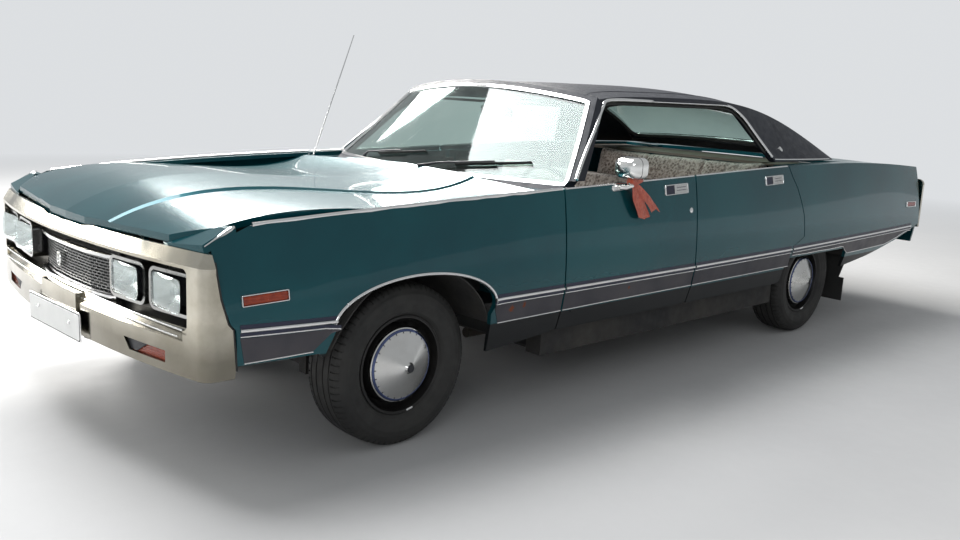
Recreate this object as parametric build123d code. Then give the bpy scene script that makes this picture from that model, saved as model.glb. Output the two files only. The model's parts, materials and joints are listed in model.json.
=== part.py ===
from build123d import *
import os

os.makedirs("parts", exist_ok=True)

# A full-size four-door hardtop sedan. X runs from the nose to the tail, Y to the car's right,
# Z up, with the origin on the ground below the middle of the car. All sizes are in millimetres.

# Overall layout
wheelbase = 3150.0
front_overhang = 950.0
rear_overhang = 1605.0
body_half_width = 1003.0
half_track = 800.0
length = front_overhang + wheelbase + rear_overhang
nose_x = -length / 2
tail_x = length / 2
front_axle_x = nose_x + front_overhang
rear_axle_x = front_axle_x + wheelbase

# Clearances: at rest between seated pieces, and between panels that move
running_gap = 0.3
panel_gap = 8.0

# Wheels
tyre_radius = 320.0
tyre_width = 205.0
tyre_bead_radius = 190.0
tyre_wall = 16.0
rim_flange_rise = 2.0
rim_width = 160.0
rim_well_depth = 30.0
rim_wall = 6.0
hub_face_offset = 30.0
disc_thickness = 6.0
disc_ridge_offset = 62.0
cap_radius = 146.0
cap_height = 60.0
cap_skirt = 14.0
cap_wall = 3.0
cap_nose_radius = 16.0

# Body side
skin = 20.0
edge_skin = 5.0
edge_width = 28.0
slab_depth = 443.0
waist_z = 553.0
band_foot_z = 455.0
door_foot_z = 365.0
sill_foot_z = 235.0
skirt_tuck = 75.0
band_tuck = 14.0
crest_round_drop = 8.0

# Panel lines along the side
fender_front_x = nose_x + 150.0
door_front_x = front_axle_x + 784.5
door_split_x = door_front_x + 980.0
door_rear_top_x = rear_axle_x - 452.5
quarter_rear_x = tail_x - 62.0

# Wheel openings
front_arch_centre_z = 539.0
front_arch_half = 375.0
front_arch_rise = 147.0
rear_arch_front = 460.0
rear_arch_rear = 345.0
rear_arch_top_z = 512.0
wheelhouse_radius = 396.0
wheelhouse_wall = 5.0
wheelhouse_clearance = 21.5

# Doors
door_thickness = 120.0
hinge_setback = 60.0
hinge_depth = 30.0
hinge_heights = (470.0, 700.0)
hinge_barrel_radius = 9.0
hinge_pin_radius = 4.0
hinge_arm = 12.0
hinge_arm_height = 40.0
hinge_notch_height = 56.0
hinge_swing = 65.0
swing_clearance = 5.0
door_inner_y = body_half_width - door_thickness - skin
post_half = door_inner_y - 21.0
post_depth = 28.0

# Cabin and floor
floor_z = 262.0
floor_thickness = 16.0
tunnel_half = 150.0
tunnel_height = 150.0
sheet = 20.0
firewall_x = door_front_x - 17.0
rear_seat_pan_x = rear_axle_x - 707.5
trunk_floor_z = 470.0
cabin_half = post_half - 12.0
cabin_inner_half = cabin_half - floor_thickness - running_gap
dash_top_z = 900.0

# Hood and deck lid
crest_ledge = 46.0
hood_rear_x = door_front_x - 72.0
hood_thickness = 24.0
hood_crown = 26.0
support_top_z = 770.0
deck_front_x = rear_axle_x + 470.0
deck_rear_x = tail_x - 75.0
deck_half_front = 800.0
deck_half_rear = 770.0
deck_crown = 14.0
tail_panel_top_z = 930.0

# Loop bumper
loop_half = body_half_width - 57.0
loop_top_z = 826.0
loop_foot_z = 418.0
loop_depth = 110.0
loop_bow = 100.0
loop_setback = 8.0
loop_edge_x = nose_x + loop_bow
loop_top_slope = 26.0
opening_half = loop_half - 89.0
opening_top_z = 771.0
opening_foot_z = 571.0
plate_bolt_pitch = 177.8
plate_bolt_radius = 3.5

# Running gear
kingpin_y = half_track - 100.0
drum_radius = 130.0
drum_depth = 70.0
ball_joint_rise = 110.0
arm_height = 24.0
axle_tube_radius = 42.0
differential_radius = 125.0
shaft_radius = 38.0
muffler_radius = 48.0
engine_rear_x = firewall_x - 45.0


def box(x0, x1, y0, y1, z0, z1):
    """A block between two corners."""
    centre = ((x0 + x1) / 2, (y0 + y1) / 2, (z0 + z1) / 2)
    return Pos(*centre) * Box(x1 - x0, y1 - y0, z1 - z0)


def twin_boxes(x0, x1, y0, y1, z0, z1):
    """The same block on both sides of the car, from y0 out to y1."""
    return box(x0, x1, y0, y1, z0, z1) + box(x0, x1, -y1, -y0, z0, z1)


def side_prism(points, y0, y1):
    """A side-view outline, given as (x, z) points, carried from y0 to y1."""
    outline = Polyline(*[(x, y0, z) for x, z in points], close=True)
    return extrude(make_face(outline), amount=y1 - y0, dir=(0, 1, 0))


def front_prism(points, x0, x1):
    """A front-view outline, given as (y, z) points, carried from x0 to x1."""
    outline = Polyline(*[(x0, y, z) for y, z in points], close=True)
    return extrude(make_face(outline), amount=x1 - x0, dir=(1, 0, 0))


def plan_prism(points, z0, z1):
    """A plan outline, given as (x, y) points, carried from z0 to z1."""
    outline = Polyline(*[(x, y, z0) for x, y in points], close=True)
    return extrude(make_face(outline), amount=z1 - z0, dir=(0, 0, 1))


def cross_cylinder(x, z, radius, y0, y1):
    """A round bar across the car, from y0 to y1."""
    return Pos(x, (y0 + y1) / 2, z) * Rot(90, 0, 0) * Cylinder(radius, y1 - y0)


def long_cylinder(y, z, radius, x0, x1):
    """A round bar along the car, from x0 to x1."""
    return Pos((x0 + x1) / 2, y, z) * Rot(0, 90, 0) * Cylinder(radius, x1 - x0)


def other_side(shape):
    """The mirror image across the car's middle plane."""
    return mirror(shape, about=Plane.XZ)


def save(shape, name):
    """Write one piece."""
    export_step(shape, "parts/" + name + ".step")


# Sections of the body side, from the front fender's nose to the quarter's tail. Both insets are
# measured in from the body's half width.
# Columns: x, inset of the crest, height of the crest, inset of the waist.
side_sections = (
    (fender_front_x - 60, 138, 886, 66),
    (front_axle_x, 57, 943, 11),
    (door_front_x, 42, 973, 2),
    (door_split_x, 46, 1003, 0),
    (door_rear_top_x, 52, 1032, 2),
    (rear_axle_x + 400, 59, 1038, 15),
    (tail_x - 50, 115, 984, 58),
)
over_body_z = 1100.0
wide_y = body_half_width + 100


def side_wire(x, crest_inset, crest_z, waist_inset, inset, foot_z):
    """One closed section of the left body side, moved inwards by inset."""
    crest_y = body_half_width - crest_inset - inset
    waist_y = body_half_width - waist_inset - inset
    inner_y = body_half_width - slab_depth - inset
    crest = (x, -crest_y, crest_z - inset)
    waist = (x, -waist_y, waist_z)
    middle = (x, -(0.75 * waist_y + 0.25 * crest_y), (crest_z + waist_z) / 2)
    band = (x, -(waist_y - band_tuck), band_foot_z)
    foot = (x, -(waist_y - skirt_tuck), foot_z)
    inner_foot = (x, -inner_y, foot_z)
    inner_top = (x, -inner_y, crest_z - inset - crest_round_drop)
    edges = [
        Edge.make_line(inner_top, crest),
        Edge.make_three_point_arc(crest, middle, waist),
        Edge.make_line(waist, band),
        Edge.make_line(band, foot),
        Edge.make_line(foot, inner_foot),
        Edge.make_line(inner_foot, inner_top),
    ]
    return Wire(edges)


def side_slab(inset, foot_z):
    """The left body side as one solid, moved inwards by inset."""
    wires = [side_wire(*row, inset, foot_z) for row in side_sections]
    return Solid.make_loft(wires, ruled=False)


outer_slab = side_slab(0.0, sill_foot_z)
inner_slab = side_slab(skin, sill_foot_z - 3 * skin)
edge_slab = side_slab(edge_skin, sill_foot_z - 3 * skin)
skin_shell = outer_slab - inner_slab
side_room = side_slab(skin + running_gap, sill_foot_z)
middle_half = body_half_width - slab_depth + 10
body_room = side_room + other_side(side_room)
body_room += box(nose_x, tail_x, -middle_half, middle_half, 0, over_body_z)


def crest_at(x):
    """Crest half width and height at x, by straight lines between the sections."""
    for first, second in zip(side_sections, side_sections[1:]):
        if x <= second[0]:
            share = (x - first[0]) / (second[0] - first[0])
            inset = first[1] + share * (second[1] - first[1])
            height = first[2] + share * (second[2] - first[2])
            return body_half_width - inset, height
    return body_half_width - side_sections[-1][1], side_sections[-1][2]


# Hood outline in plan. The gap to the fender runs just inside the crest.
hood_front_x = nose_x + 32.0
hood_corner_x = nose_x + 100.0
hood_corner_y = loop_half - 234.0
hood_shoulder_x = nose_x + 215.0
hood_nose_half = 170.0
hood_nose_back = 4.0


def hood_plan(gap):
    """Plan outline of the hood's left edge, from nose to cowl, moved inwards by gap."""
    rows = [(hood_corner_x + gap, -(hood_corner_y - gap))]
    for x in (hood_shoulder_x, front_axle_x, hood_rear_x):
        rows.append((x, -(crest_at(x)[0] - crest_ledge - gap)))
    return rows


def hood_outline(gap, rear_gap):
    """The closed plan outline of the hood, as (x, y) points."""
    left = hood_plan(gap)
    left[-1] = (hood_rear_x - rear_gap, left[-1][1])
    right = [(x, -y) for x, y in reversed(left)]
    nose = [
        (hood_front_x + gap + hood_nose_back, hood_nose_half), (hood_front_x + gap, 0),
        (hood_front_x + gap + hood_nose_back, -hood_nose_half),
    ]
    return left + right + nose


def bow_at(y):
    """How far the bumper's bow has run back at y."""
    return loop_bow * (y / loop_half) ** 2


def bow_solid(front, back, z0, z1):
    """A band that follows the bumper's bow in plan, from front to back behind its face."""
    lines = []
    for depth in (front, back):
        lines.append(((loop_edge_x + depth, -loop_half, z0), (nose_x + depth, 0, z0),
                      (loop_edge_x + depth, loop_half, z0)))
    (a, b, c), (d, e, f) = lines
    edges = [Edge.make_three_point_arc(a, b, c), Edge.make_line(c, f),
             Edge.make_three_point_arc(f, e, d), Edge.make_line(d, a)]
    return extrude(Face(Wire(edges)), amount=z1 - z0, dir=(0, 0, 1))


def bowed_block(front, back, y0, y1, z0, z1):
    """A piece of such a band between y0 and y1."""
    return bow_solid(front, back, z0, z1) & box(nose_x - 50, nose_x + 500, y0, y1, z0, z1)


# Rear edge of the bumper's side arm from the top down, as (distance behind the nose, z)
arm_edge = ((144, over_body_z), (144, 765), (158, 684), (184, 600), (202, 578), (212, 441), (204, 380))
filler_gap = 9.0


def arm_rear(gap):
    """The rear edge of the bumper's arm, moved back by gap, as (x, z) points."""
    return [(nose_x + back + gap, z) for back, z in arm_edge]


# Lower edge of the fender on both sides of its wheel opening
fender_foot_reach = 300.0
tip_front_x = nose_x + 97.0
tip_front_z = loop_top_z + 8.0
tip_rear_x = nose_x + 212.0
tip_rear_z = loop_top_z + 67.0
tip_depth = 30.0
fender_foot_z = 330.0
arch_side_front = 355.0
arch_side_rear = 350.0
arch_flare_front = 495.0
arch_flare_rear = 392.0


def make_fender_tip():
    """The sloping cap of the fender's nose, which closes it down to the bumper's top."""
    seat_z = loop_top_z + running_gap
    outline = (
        (tip_front_x, seat_z), (tip_front_x, tip_front_z), (tip_rear_x, tip_rear_z),
        (tip_rear_x + tip_depth, over_body_z), (tip_rear_x + tip_depth, tip_rear_z - tip_depth),
        (tip_rear_x, tip_rear_z - tip_depth), (tip_front_x + 1.5 * tip_depth, seat_z),
    )
    tip = outer_slab & side_prism(outline, -wide_y, -slab_depth)
    return tip & bow_solid(loop_setback + loop_top_slope + 6, 500, 0, over_body_z)


def make_fender():
    """Left front fender: a skin with its wheel opening, open towards the engine bay."""
    rear = door_front_x - panel_gap / 2
    outline = [
        (rear, over_body_z), (rear, door_foot_z), (front_axle_x + fender_foot_reach + 100, fender_foot_z),
        (front_axle_x + fender_foot_reach, fender_foot_z), (front_axle_x - fender_foot_reach, fender_foot_z),
        (front_axle_x - fender_foot_reach - 130, band_foot_z), (nose_x + 300, band_foot_z),
    ] + [(x, max(z, band_foot_z)) for x, z in reversed(arm_rear(filler_gap)[:-1])]
    panel = skin_shell & side_prism(outline, -wide_y, -slab_depth + 40)
    inner_edge = crest_at(hood_rear_x)[0] - crest_ledge - skin
    panel -= box(fender_front_x - 50, rear, -inner_edge, 0, 0, over_body_z)
    panel -= side_prism(((tip_front_x - 50, tip_front_z - 26), (tip_rear_x, tip_rear_z),
                         (tip_rear_x, over_body_z), (tip_front_x - 50, over_body_z)), -wide_y, 0)
    panel += make_fender_tip()
    panel -= plan_prism(hood_outline(0, -60), support_top_z - 70, over_body_z)
    arch = Pos(front_axle_x, -body_half_width, front_arch_centre_z) * Rot(90, 0, 0) * extrude(
        Ellipse(front_arch_half, front_arch_rise), amount=slab_depth, both=True)
    flare_top = front_arch_centre_z + 30
    flare = side_prism(
        ((front_axle_x - arch_side_front, flare_top), (front_axle_x + arch_side_rear, flare_top),
         (front_axle_x + arch_flare_rear, sill_foot_z), (front_axle_x - arch_flare_front, sill_foot_z)),
        -wide_y, -slab_depth)
    hem = edge_slab & box(rear - edge_width, rear + 1, -wide_y, 0, 0, over_body_z)
    return panel - arch - flare - hem


# Rear edge of the rear door from the top down, as (distance behind the axle's datum, z).
# It bows rearwards at the handle and runs forward again above the wheel opening.
rear_edge_rows = (
    (0, over_body_z), (0, 1030), (35, 972), (85, 913), (125, 842), (167, 753), (180, 680), (185, 629),
    (153, 614), (78, 585), (49, 558), (7, 492), (7, door_foot_z),
)


def rear_door_edge(gap):
    """The rear door's rear edge, moved back by gap, as (x, z) points from the top down."""
    return [(door_rear_top_x + back + gap, z) for back, z in rear_edge_rows]


# Lower edge of the quarter behind the wheel, as (share of the way to the tail, z)
quarter_foot_rows = ((0.0, 388), (0.3, 427), (0.667, 499), (1.0, 588))


def make_quarter():
    """Left rear quarter: side skin, deck side and wheel opening."""
    front = rear_door_edge(panel_gap)
    arch_front = rear_axle_x - rear_arch_front
    arch_rear = rear_axle_x + rear_arch_rear
    foot = [(arch_rear + share * (quarter_rear_x - arch_rear), z) for share, z in quarter_foot_rows]
    outline = front[:-1] + [(front[-1][0], sill_foot_z), (arch_rear, sill_foot_z)] + foot
    outline.append((quarter_rear_x - 60, over_body_z))
    panel = skin_shell & side_prism(outline, -wide_y, -slab_depth + 40)
    panel -= side_prism(
        ((arch_front, 0), (arch_front, rear_arch_top_z - 30), (arch_front + 30, rear_arch_top_z),
         (arch_rear - 20, rear_arch_top_z), (arch_rear, rear_arch_top_z - 20), (arch_rear, 0)),
        -wide_y, -half_track + tyre_width)
    panel -= plan_prism(deck_outline(0), 700, over_body_z)
    panel -= box(door_rear_top_x - 100, deck_front_x - 60, -belt_ledge_y, 0, 900, over_body_z)
    return panel


belt_ledge_y = body_half_width - 153.0


def deck_outline(gap):
    """The closed plan outline of the deck lid, as (x, y) points, moved inwards by gap."""
    return [
        (deck_front_x + gap, -deck_half_front + gap), (deck_front_x + gap, deck_half_front - gap),
        (deck_rear_x + 200, deck_half_rear - gap), (deck_rear_x + 200, -deck_half_rear + gap),
    ]


# Door glass slot, and the reach of the door's thick inner part below the belt
belt_glass_y = body_half_width - 123.0
slot_width = 30.0
belt_top_z = 1035.0


def hinge_axis(front_x):
    """Where a left door's hinge line stands, in plan."""
    return front_x + hinge_setback, -(body_half_width - hinge_depth - 2)


def hinge_notch(front_x, z):
    """The pocket in a door's front inner corner that the body's hinge arm swings through."""
    x, y = hinge_axis(front_x)
    free = hinge_arm / 2 + swing_clearance
    reach = door_thickness + skin
    open_arm = Vector(-1, 0, 0).rotate(Axis.Z, hinge_swing - 90)
    slope = open_arm.Y / open_arm.X
    front = -hinge_setback - 1
    low = front * slope - free / open_arm.X * -1
    points = ((0, -free), (front, low), (front, reach), (free, reach), (free, 0))
    pocket = plan_prism([(x + dx, y + dy) for dx, dy in points], z - hinge_notch_height / 2,
                        z + hinge_notch_height / 2)
    barrel_room = Cylinder(hinge_barrel_radius + swing_clearance, hinge_notch_height)
    return pocket + Pos(x, y, z) * barrel_room


def hinge_arms(front_x):
    """The body's two left hinge arms of one door, each with its barrel."""
    x, y = hinge_axis(front_x)
    arms = None
    for z in hinge_heights:
        barrel = Pos(x, y, z) * Cylinder(hinge_barrel_radius, hinge_notch_height - 2 * running_gap)
        arm = box(x - hinge_arm / 2, x + hinge_arm / 2, y, -post_half + 2,
                  z - hinge_arm_height / 2, z + hinge_arm_height / 2)
        part = barrel + arm - Pos(x, y, z) * Cylinder(hinge_pin_radius + running_gap, hinge_notch_height)
        arms = part if arms is None else arms + part
    return arms


def door(front_x, rear_edge, foot):
    """A left door: its skin, and the thick inner part set back from the skin's edges."""
    outline = [(front_x, over_body_z)] + rear_edge[:-1] + [(rear_edge[-1][0], foot), (front_x, foot)]
    skin_part = skin_shell & side_prism(outline, -wide_y, -body_half_width + 4 * skin)
    inner_rear = [(x - edge_width, z) for x, z in rear_edge]
    inner_outline = [(front_x, over_body_z)] + inner_rear[:-1]
    inner_outline += [(inner_rear[-1][0], foot + edge_width), (front_x, foot + edge_width)]
    inner_part = inner_slab & side_prism(inner_outline, -wide_y, -door_inner_y)
    inner_part -= box(front_x - 10, front_x + 2000, -wide_y, 0, belt_top_z, over_body_z)
    slot_y = -belt_glass_y - slot_width - 5
    slot = box(front_x + hinge_setback, rear_edge[0][0] - 70, slot_y, slot_y + slot_width, 940, 1200)
    body = skin_part + inner_part - slot
    x, y = hinge_axis(front_x)
    for z in hinge_heights:
        body -= hinge_notch(front_x, z)
        body += Pos(x, y, z) * Cylinder(hinge_pin_radius, hinge_notch_height + 4)
    rim_outline = [(x + edge_width, z) for x, z in reversed(inner_rear)] + inner_rear
    return body - (edge_slab & side_prism(rim_outline, -wide_y, 0))


front_door_front = door_front_x + panel_gap / 2
front_door_rear = door_split_x - panel_gap / 2
rear_door_front = door_split_x + panel_gap / 2
left_front_door = door(
    front_door_front, [(front_door_rear, over_body_z), (front_door_rear, door_foot_z)], door_foot_z)
left_rear_door = door(rear_door_front, rear_door_edge(0.0), door_foot_z)
left_fender = make_fender()
left_quarter = make_quarter()
for shape, name in (
    (left_front_door, "door_front"), (left_rear_door, "door_rear"),
    (left_fender, "front_fender"), (left_quarter, "quarter"),
):
    save(shape, name + "_left")
    save(other_side(shape), name + "_right")


def crown_drop(y, half, crown):
    """How far a crowned sheet has fallen at y from its height in the middle."""
    return crown * (y / half) ** 2


def crowned_wire(x, half, edge_z, crown, depth):
    """A crowned section of the hood or the deck lid."""
    left = (x, -half, edge_z)
    right = (x, half, edge_z)
    low = [(x, -half, edge_z - depth), (x, 0, edge_z + crown - depth), (x, half, edge_z - depth)]
    return Wire([
        Edge.make_three_point_arc(left, (x, 0, edge_z + crown), right),
        Edge.make_line(right, low[2]),
        Edge.make_three_point_arc(low[2], low[1], low[0]),
        Edge.make_line(low[0], left),
    ])


# Sections of the hood, of its raised middle and of the deck lid.
# Columns: x, height of the side edges, half width of the raised middle, its rise.
hood_sections = (
    (hood_front_x - 20, 798, 325, 4),
    (fender_front_x + 60, 884, 345, 8),
    (front_axle_x - 150, 926, 430, 9),
    (hood_rear_x + 20, 964, 470, 9),
)
hood_half = body_half_width - 73
ridge_slope = 16.0
ridge_peak = 5.0
# Columns: x, height of the side edges.
deck_sections = ((deck_front_x - 10, 1026), (deck_front_x + 500, 1014), (deck_rear_x + 20, 972))
pad_fill = 150.0
pad_length = 16.0
pad_half = 20.0
hood_pad_y = 400.0
deck_pad_y = 300.0


def crowned_sheet(sections, half, crown, thickness):
    """A sheet through the given sections, crowned across."""
    wires = [crowned_wire(row[0], half, row[1], crown, thickness) for row in sections]
    return Solid.make_loft(wires, ruled=False)


def hood_middle():
    """The raised middle of the hood, with its slight peak along the centre line."""
    wires = []
    for x, edge_z, half, rise in hood_sections:
        centre_z = edge_z + hood_crown
        outer_z = centre_z - crown_drop(half + ridge_slope, hood_half, hood_crown) - 1
        inner_z = centre_z - crown_drop(half, hood_half, hood_crown) + rise
        low_z = centre_z - crown_drop(half, hood_half, hood_crown) - hood_thickness / 2
        wires.append(Wire.make_polygon([
            (x, -half - ridge_slope, outer_z), (x, -half, inner_z), (x, 0, centre_z + rise + ridge_peak),
            (x, half, inner_z), (x, half + ridge_slope, outer_z), (x, half, low_z), (x, -half, low_z),
        ], close=True))
    return Solid.make_loft(wires, ruled=False)


def make_hood():
    """The hood: a crowned panel with a raised middle, cut to its plan outline, and two rest pads."""
    panel = crowned_sheet(hood_sections, hood_half, hood_crown, hood_thickness) + hood_middle()
    panel &= plan_prism(hood_outline(panel_gap, 0), 600, 1200)
    fill = crowned_sheet(hood_sections, hood_half, hood_crown, pad_fill)
    for y in (-hood_pad_y, hood_pad_y):
        panel += fill & box(fender_front_x + 2, fender_front_x + 2 + pad_length, y - pad_half, y + pad_half,
                            support_top_z + running_gap, over_body_z)
    return panel


save(make_hood(), "hood")


def make_deck_lid():
    """The deck lid: a crowned panel with its two rest pads."""
    outline = deck_outline(panel_gap)[:2] + [
        (deck_rear_x, deck_half_rear - panel_gap), (deck_rear_x, -deck_half_rear + panel_gap)]
    lid = crowned_sheet(deck_sections, deck_half_front, deck_crown, hood_thickness)
    lid &= plan_prism(outline, 600, 1200)
    fill = crowned_sheet(deck_sections, deck_half_front, deck_crown, pad_fill)
    for y in (-deck_pad_y, deck_pad_y):
        lid += fill & box(deck_rear_x - 12, deck_rear_x - 1, y - pad_half, y + pad_half,
                          tail_panel_top_z + running_gap, over_body_z)
    return lid


save(make_deck_lid(), "deck_lid")

# Windshield: half widths and heights of its base and top, and how far the middle stands forward.
shield_base_x = door_front_x + 150.0
shield_base_z = 971.0
shield_base_half = post_half - 5.0
shield_base_bow = 150.0
shield_top_x = door_front_x + 482.0
shield_top_z = 1330.0
shield_top_half = 653.0
shield_top_bow = 80.0
shield_top_crown = 52.0
shield_reach = 900.0
frame_bar = 42.0
frame_front = 8.0
frame_back = 34.0
frame_foot_z = 992.0
glass_thickness = 6.0
glass_inset = 12.0


def shield_body(margin, front, back):
    """The windshield's bent sheet, from front to back of its surface, grown by margin."""
    wires = []
    for share in (-1.0, -0.5, 0.0, 0.5, 1.0):
        y = share * shield_reach
        base_x = shield_base_x - shield_base_bow * (1 - (y / shield_base_half) ** 2)
        top_x = shield_top_x - shield_top_bow * (1 - (y / shield_top_half) ** 2)
        top_z = shield_top_z + shield_top_crown * (1 - (y / shield_top_half) ** 2)
        run = Vector(top_x - base_x, 0, top_z - shield_base_z)
        along = run.normalized()
        normal = Vector(-along.Z, 0, along.X)
        low = Vector(base_x, y, shield_base_z) - along * margin
        high = Vector(top_x, y, top_z) + along * margin
        corners = [low + normal * front, high + normal * front, high + normal * back, low + normal * back]
        wires.append(Wire.make_polygon(corners, close=True))
    bent = Solid.make_loft(wires, ruled=False)
    lean = (shield_base_half - shield_top_half) / (shield_top_z - shield_base_z)
    over = 300.0
    low_half = shield_base_half + margin + over * lean
    high_half = shield_top_half + margin - over * lean
    low_z = shield_base_z - over
    high_z = shield_top_z + over
    trim = front_prism(
        ((-low_half, low_z), (low_half, low_z), (high_half, high_z), (-high_half, high_z)),
        shield_base_x - 2 * shield_reach, shield_top_x + shield_reach)
    return bent & trim


def make_shield_frame():
    """The bar round the windshield, cut back where the front doors close against its feet."""
    frame = shield_body(frame_bar, frame_front, -frame_back) - shield_body(0.0, 60.0, -60.0)
    foot_x = shield_base_x - 300
    return frame - twin_boxes(foot_x, shield_top_x, post_half, wide_y, 0, frame_foot_z)


save(make_shield_frame(), "windshield_frame")
save(shield_body(-running_gap, 2.0, 2.0 - glass_thickness), "windshield")

# Sections of the roof and its rear pillars.
# Columns: x, half width at the belt past the door's inner face, half width at the rail past the
# windshield's top, drop from the roof's top to the rail and to the centre.
roof_top_z = 1427.0
roof_wall = 40.0
roof_foot_z = 1046.0
roof_sections = (
    (shield_top_x - 124, -13, 2, 127, 75),
    (shield_top_x + 76, -5, 2, 77, 23),
    (shield_top_x + 636, 9, -5, 53, 1),
    (rear_axle_x - 747, 15, -8, 57, 0),
    (rear_axle_x - 397, 17, -8, 89, 35),
    (rear_axle_x - 67, 17, 15, 165, 122),
    (rear_axle_x + 233, 9, 77, 287, 257),
    (rear_axle_x + 393, -1, 137, 375, 365),
)


def roof_solid(inset):
    """The whole volume of the roof and its pillars, moved inwards by inset."""
    wires = []
    for x, belt_out, rail_out, rail_drop, centre_drop in roof_sections:
        belt = door_inner_y + belt_out - inset
        rail = shield_top_half + rail_out - 0.8 * inset
        rail_z = roof_top_z - rail_drop
        centre_z = roof_top_z - centre_drop
        foot = roof_foot_z - 46
        wires.append(Wire([
            Edge.make_line((x, -belt, foot), (x, -rail, rail_z - inset)),
            Edge.make_three_point_arc(
                (x, -rail, rail_z - inset), (x, 0, centre_z - inset), (x, rail, rail_z - inset)),
            Edge.make_line((x, rail, rail_z - inset), (x, belt, foot)),
            Edge.make_line((x, belt, foot), (x, -belt, foot)),
        ]))
    return Solid.make_loft(wires, ruled=False)


# Side window opening in the side view, front bottom round to rear bottom
header_z = roof_top_z - 75.0
pillar_foot_x = rear_axle_x - 415.5
window_outline = (
    (shield_top_x - 764, 900), (shield_top_x + 36, header_z - 22), (shield_top_x + 116, header_z - 6),
    (shield_top_x + 236, header_z), (rear_axle_x - 687, header_z), (rear_axle_x - 607, header_z - 14),
    (rear_axle_x - 547, header_z - 62), (pillar_foot_x, roof_foot_z), (pillar_foot_x, 900),
)
backlight_front_x = rear_axle_x - 287.0
backlight_rear_x = rear_axle_x + 293.0
backlight_front_half = shield_top_half - 63.0
backlight_rear_half = shield_top_half + 52.0


def backlight_plan(gap):
    """The rear window's opening in plan, made smaller by gap."""
    front = backlight_front_x + gap
    rear = backlight_rear_x - gap
    front_half = backlight_front_half - gap
    rear_half = backlight_rear_half - gap
    return [(front, front_half), (rear, rear_half), (rear, -rear_half), (front, -front_half)]


def make_roof():
    """Roof panel with rear pillars, its side windows and rear window cut out."""
    roof = roof_solid(0.0) - roof_solid(roof_wall)
    roof -= side_prism(window_outline, -wide_y, wide_y)
    roof -= box(shield_top_x - 800, tail_x, -wide_y, wide_y, 900, roof_foot_z)
    roof -= plan_prism(backlight_plan(0), 950, 1500)
    return roof - shield_body(frame_bar + running_gap, 400.0, -frame_back - running_gap)


save(make_roof(), "roof")
backlight = roof_solid(glass_inset) - roof_solid(glass_inset + glass_thickness)
backlight &= plan_prism(backlight_plan(running_gap), roof_foot_z + 4, 1500)
save(backlight, "backlight")


def make_cowl():
    """Cowl top with its wings under the fenders, and the firewall."""
    front = hood_rear_x + panel_gap
    top_z = dash_top_z + 50
    top = box(front, shield_base_x + 60, -cabin_half, cabin_half, dash_top_z, top_z)
    top += body_room & box(front, door_front_x - panel_gap, -wide_y, wide_y, dash_top_z, top_z)
    wall = box(firewall_x, firewall_x + sheet, -cabin_inner_half, cabin_inner_half, floor_z, dash_top_z)
    wall -= box(firewall_x - 1, firewall_x + sheet + 1, -tunnel_half, tunnel_half, 0, floor_z + tunnel_height)
    return top + wall - shield_body(frame_bar + 1, 400, -frame_back - 1)


save(make_cowl(), "cowl")


def arch_sheet(x, radius, y0, y1, foot_z):
    """A wheelhouse: half of a round sheet over a wheel, closed by its inner wall at y0."""
    outer = cross_cylinder(x, tyre_radius, radius, y0, y1)
    hollow = cross_cylinder(x, tyre_radius, radius - wheelhouse_wall, y0 + wheelhouse_wall, y1 + 1)
    return (outer - hollow) & box(x - radius, x + radius, y0, y1, foot_z, over_body_z)


sill_half = body_half_width - 103.0
stop_depth = 24.0
sill_kick_z = 430.0
rear_house_y = half_track - tyre_width / 2 - wheelhouse_clearance
post_top_z = 940.0


def make_floor():
    """Floor pan with its tunnel, sills, door posts, hinge arms and rear wheelhouses."""
    low = floor_z - floor_thickness
    front = firewall_x + sheet + running_gap
    rear = deck_rear_x - sheet + panel_gap - running_gap
    sill_y = cabin_half - floor_thickness
    tunnel_z = floor_z + tunnel_height
    body = box(front, rear_seat_pan_x, -cabin_half, cabin_half, low, floor_z)
    body += box(front, rear_seat_pan_x, -tunnel_half, tunnel_half, low, tunnel_z)
    body += box(rear_seat_pan_x, rear_seat_pan_x + floor_thickness, -cabin_half, cabin_half, low,
                trunk_floor_z)
    body += box(rear_seat_pan_x, rear, -rear_house_y - 2, rear_house_y + 2,
                trunk_floor_z - floor_thickness, trunk_floor_z)
    wall = floor_thickness
    body -= box(front - 1, rear_seat_pan_x + wall + 1, -tunnel_half + wall, tunnel_half - wall,
                low - 1, tunnel_z - wall)
    sill_rear = rear_axle_x - wheelhouse_radius - panel_gap
    side = box(door_front_x - 20, sill_rear, -sill_half, -sill_y, sill_foot_z, door_foot_z - panel_gap)
    for post_x in (door_front_x, door_split_x):
        pillar_x = post_x + panel_gap / 2 + hinge_setback
        side += box(pillar_x - 50, pillar_x + 40, -post_half, -sill_y, sill_foot_z, post_top_z - 60)
        side += hinge_arms(post_x + panel_gap / 2)
    side += box(door_split_x - 62, door_split_x - 4, -post_half, -sill_y, sill_foot_z, post_top_z)
    side += box(door_split_x - 62, door_split_x - 62 + stop_depth, -door_inner_y + running_gap, -sill_y,
                door_foot_z + edge_width, post_top_z - 40)
    side += box(sill_rear - 160, sill_rear - 60, -door_inner_y + running_gap, -sill_y,
                door_foot_z + edge_width + panel_gap, sill_kick_z)
    side += box(sill_rear - 160, sill_rear - 60, -post_half, -sill_y, sill_foot_z, sill_kick_z)
    house = body_room & other_side(arch_sheet(rear_axle_x, wheelhouse_radius, rear_house_y, wide_y,
                                              trunk_floor_z - floor_thickness))
    door_reach = max(x for x, z in rear_door_edge(panel_gap))
    side += house - box(nose_x, door_reach, -wide_y, -post_half, 0, over_body_z)
    return body + side + other_side(side)


save(make_floor(), "floor_pan")


def make_tail_panel():
    """Tail panel between the quarters, below the deck lid."""
    front = deck_rear_x - sheet + panel_gap
    low = trunk_floor_z - floor_thickness
    return body_room & box(front, front + sheet, -wide_y, wide_y, low, tail_panel_top_z)


save(make_tail_panel(), "tail_panel")

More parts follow.
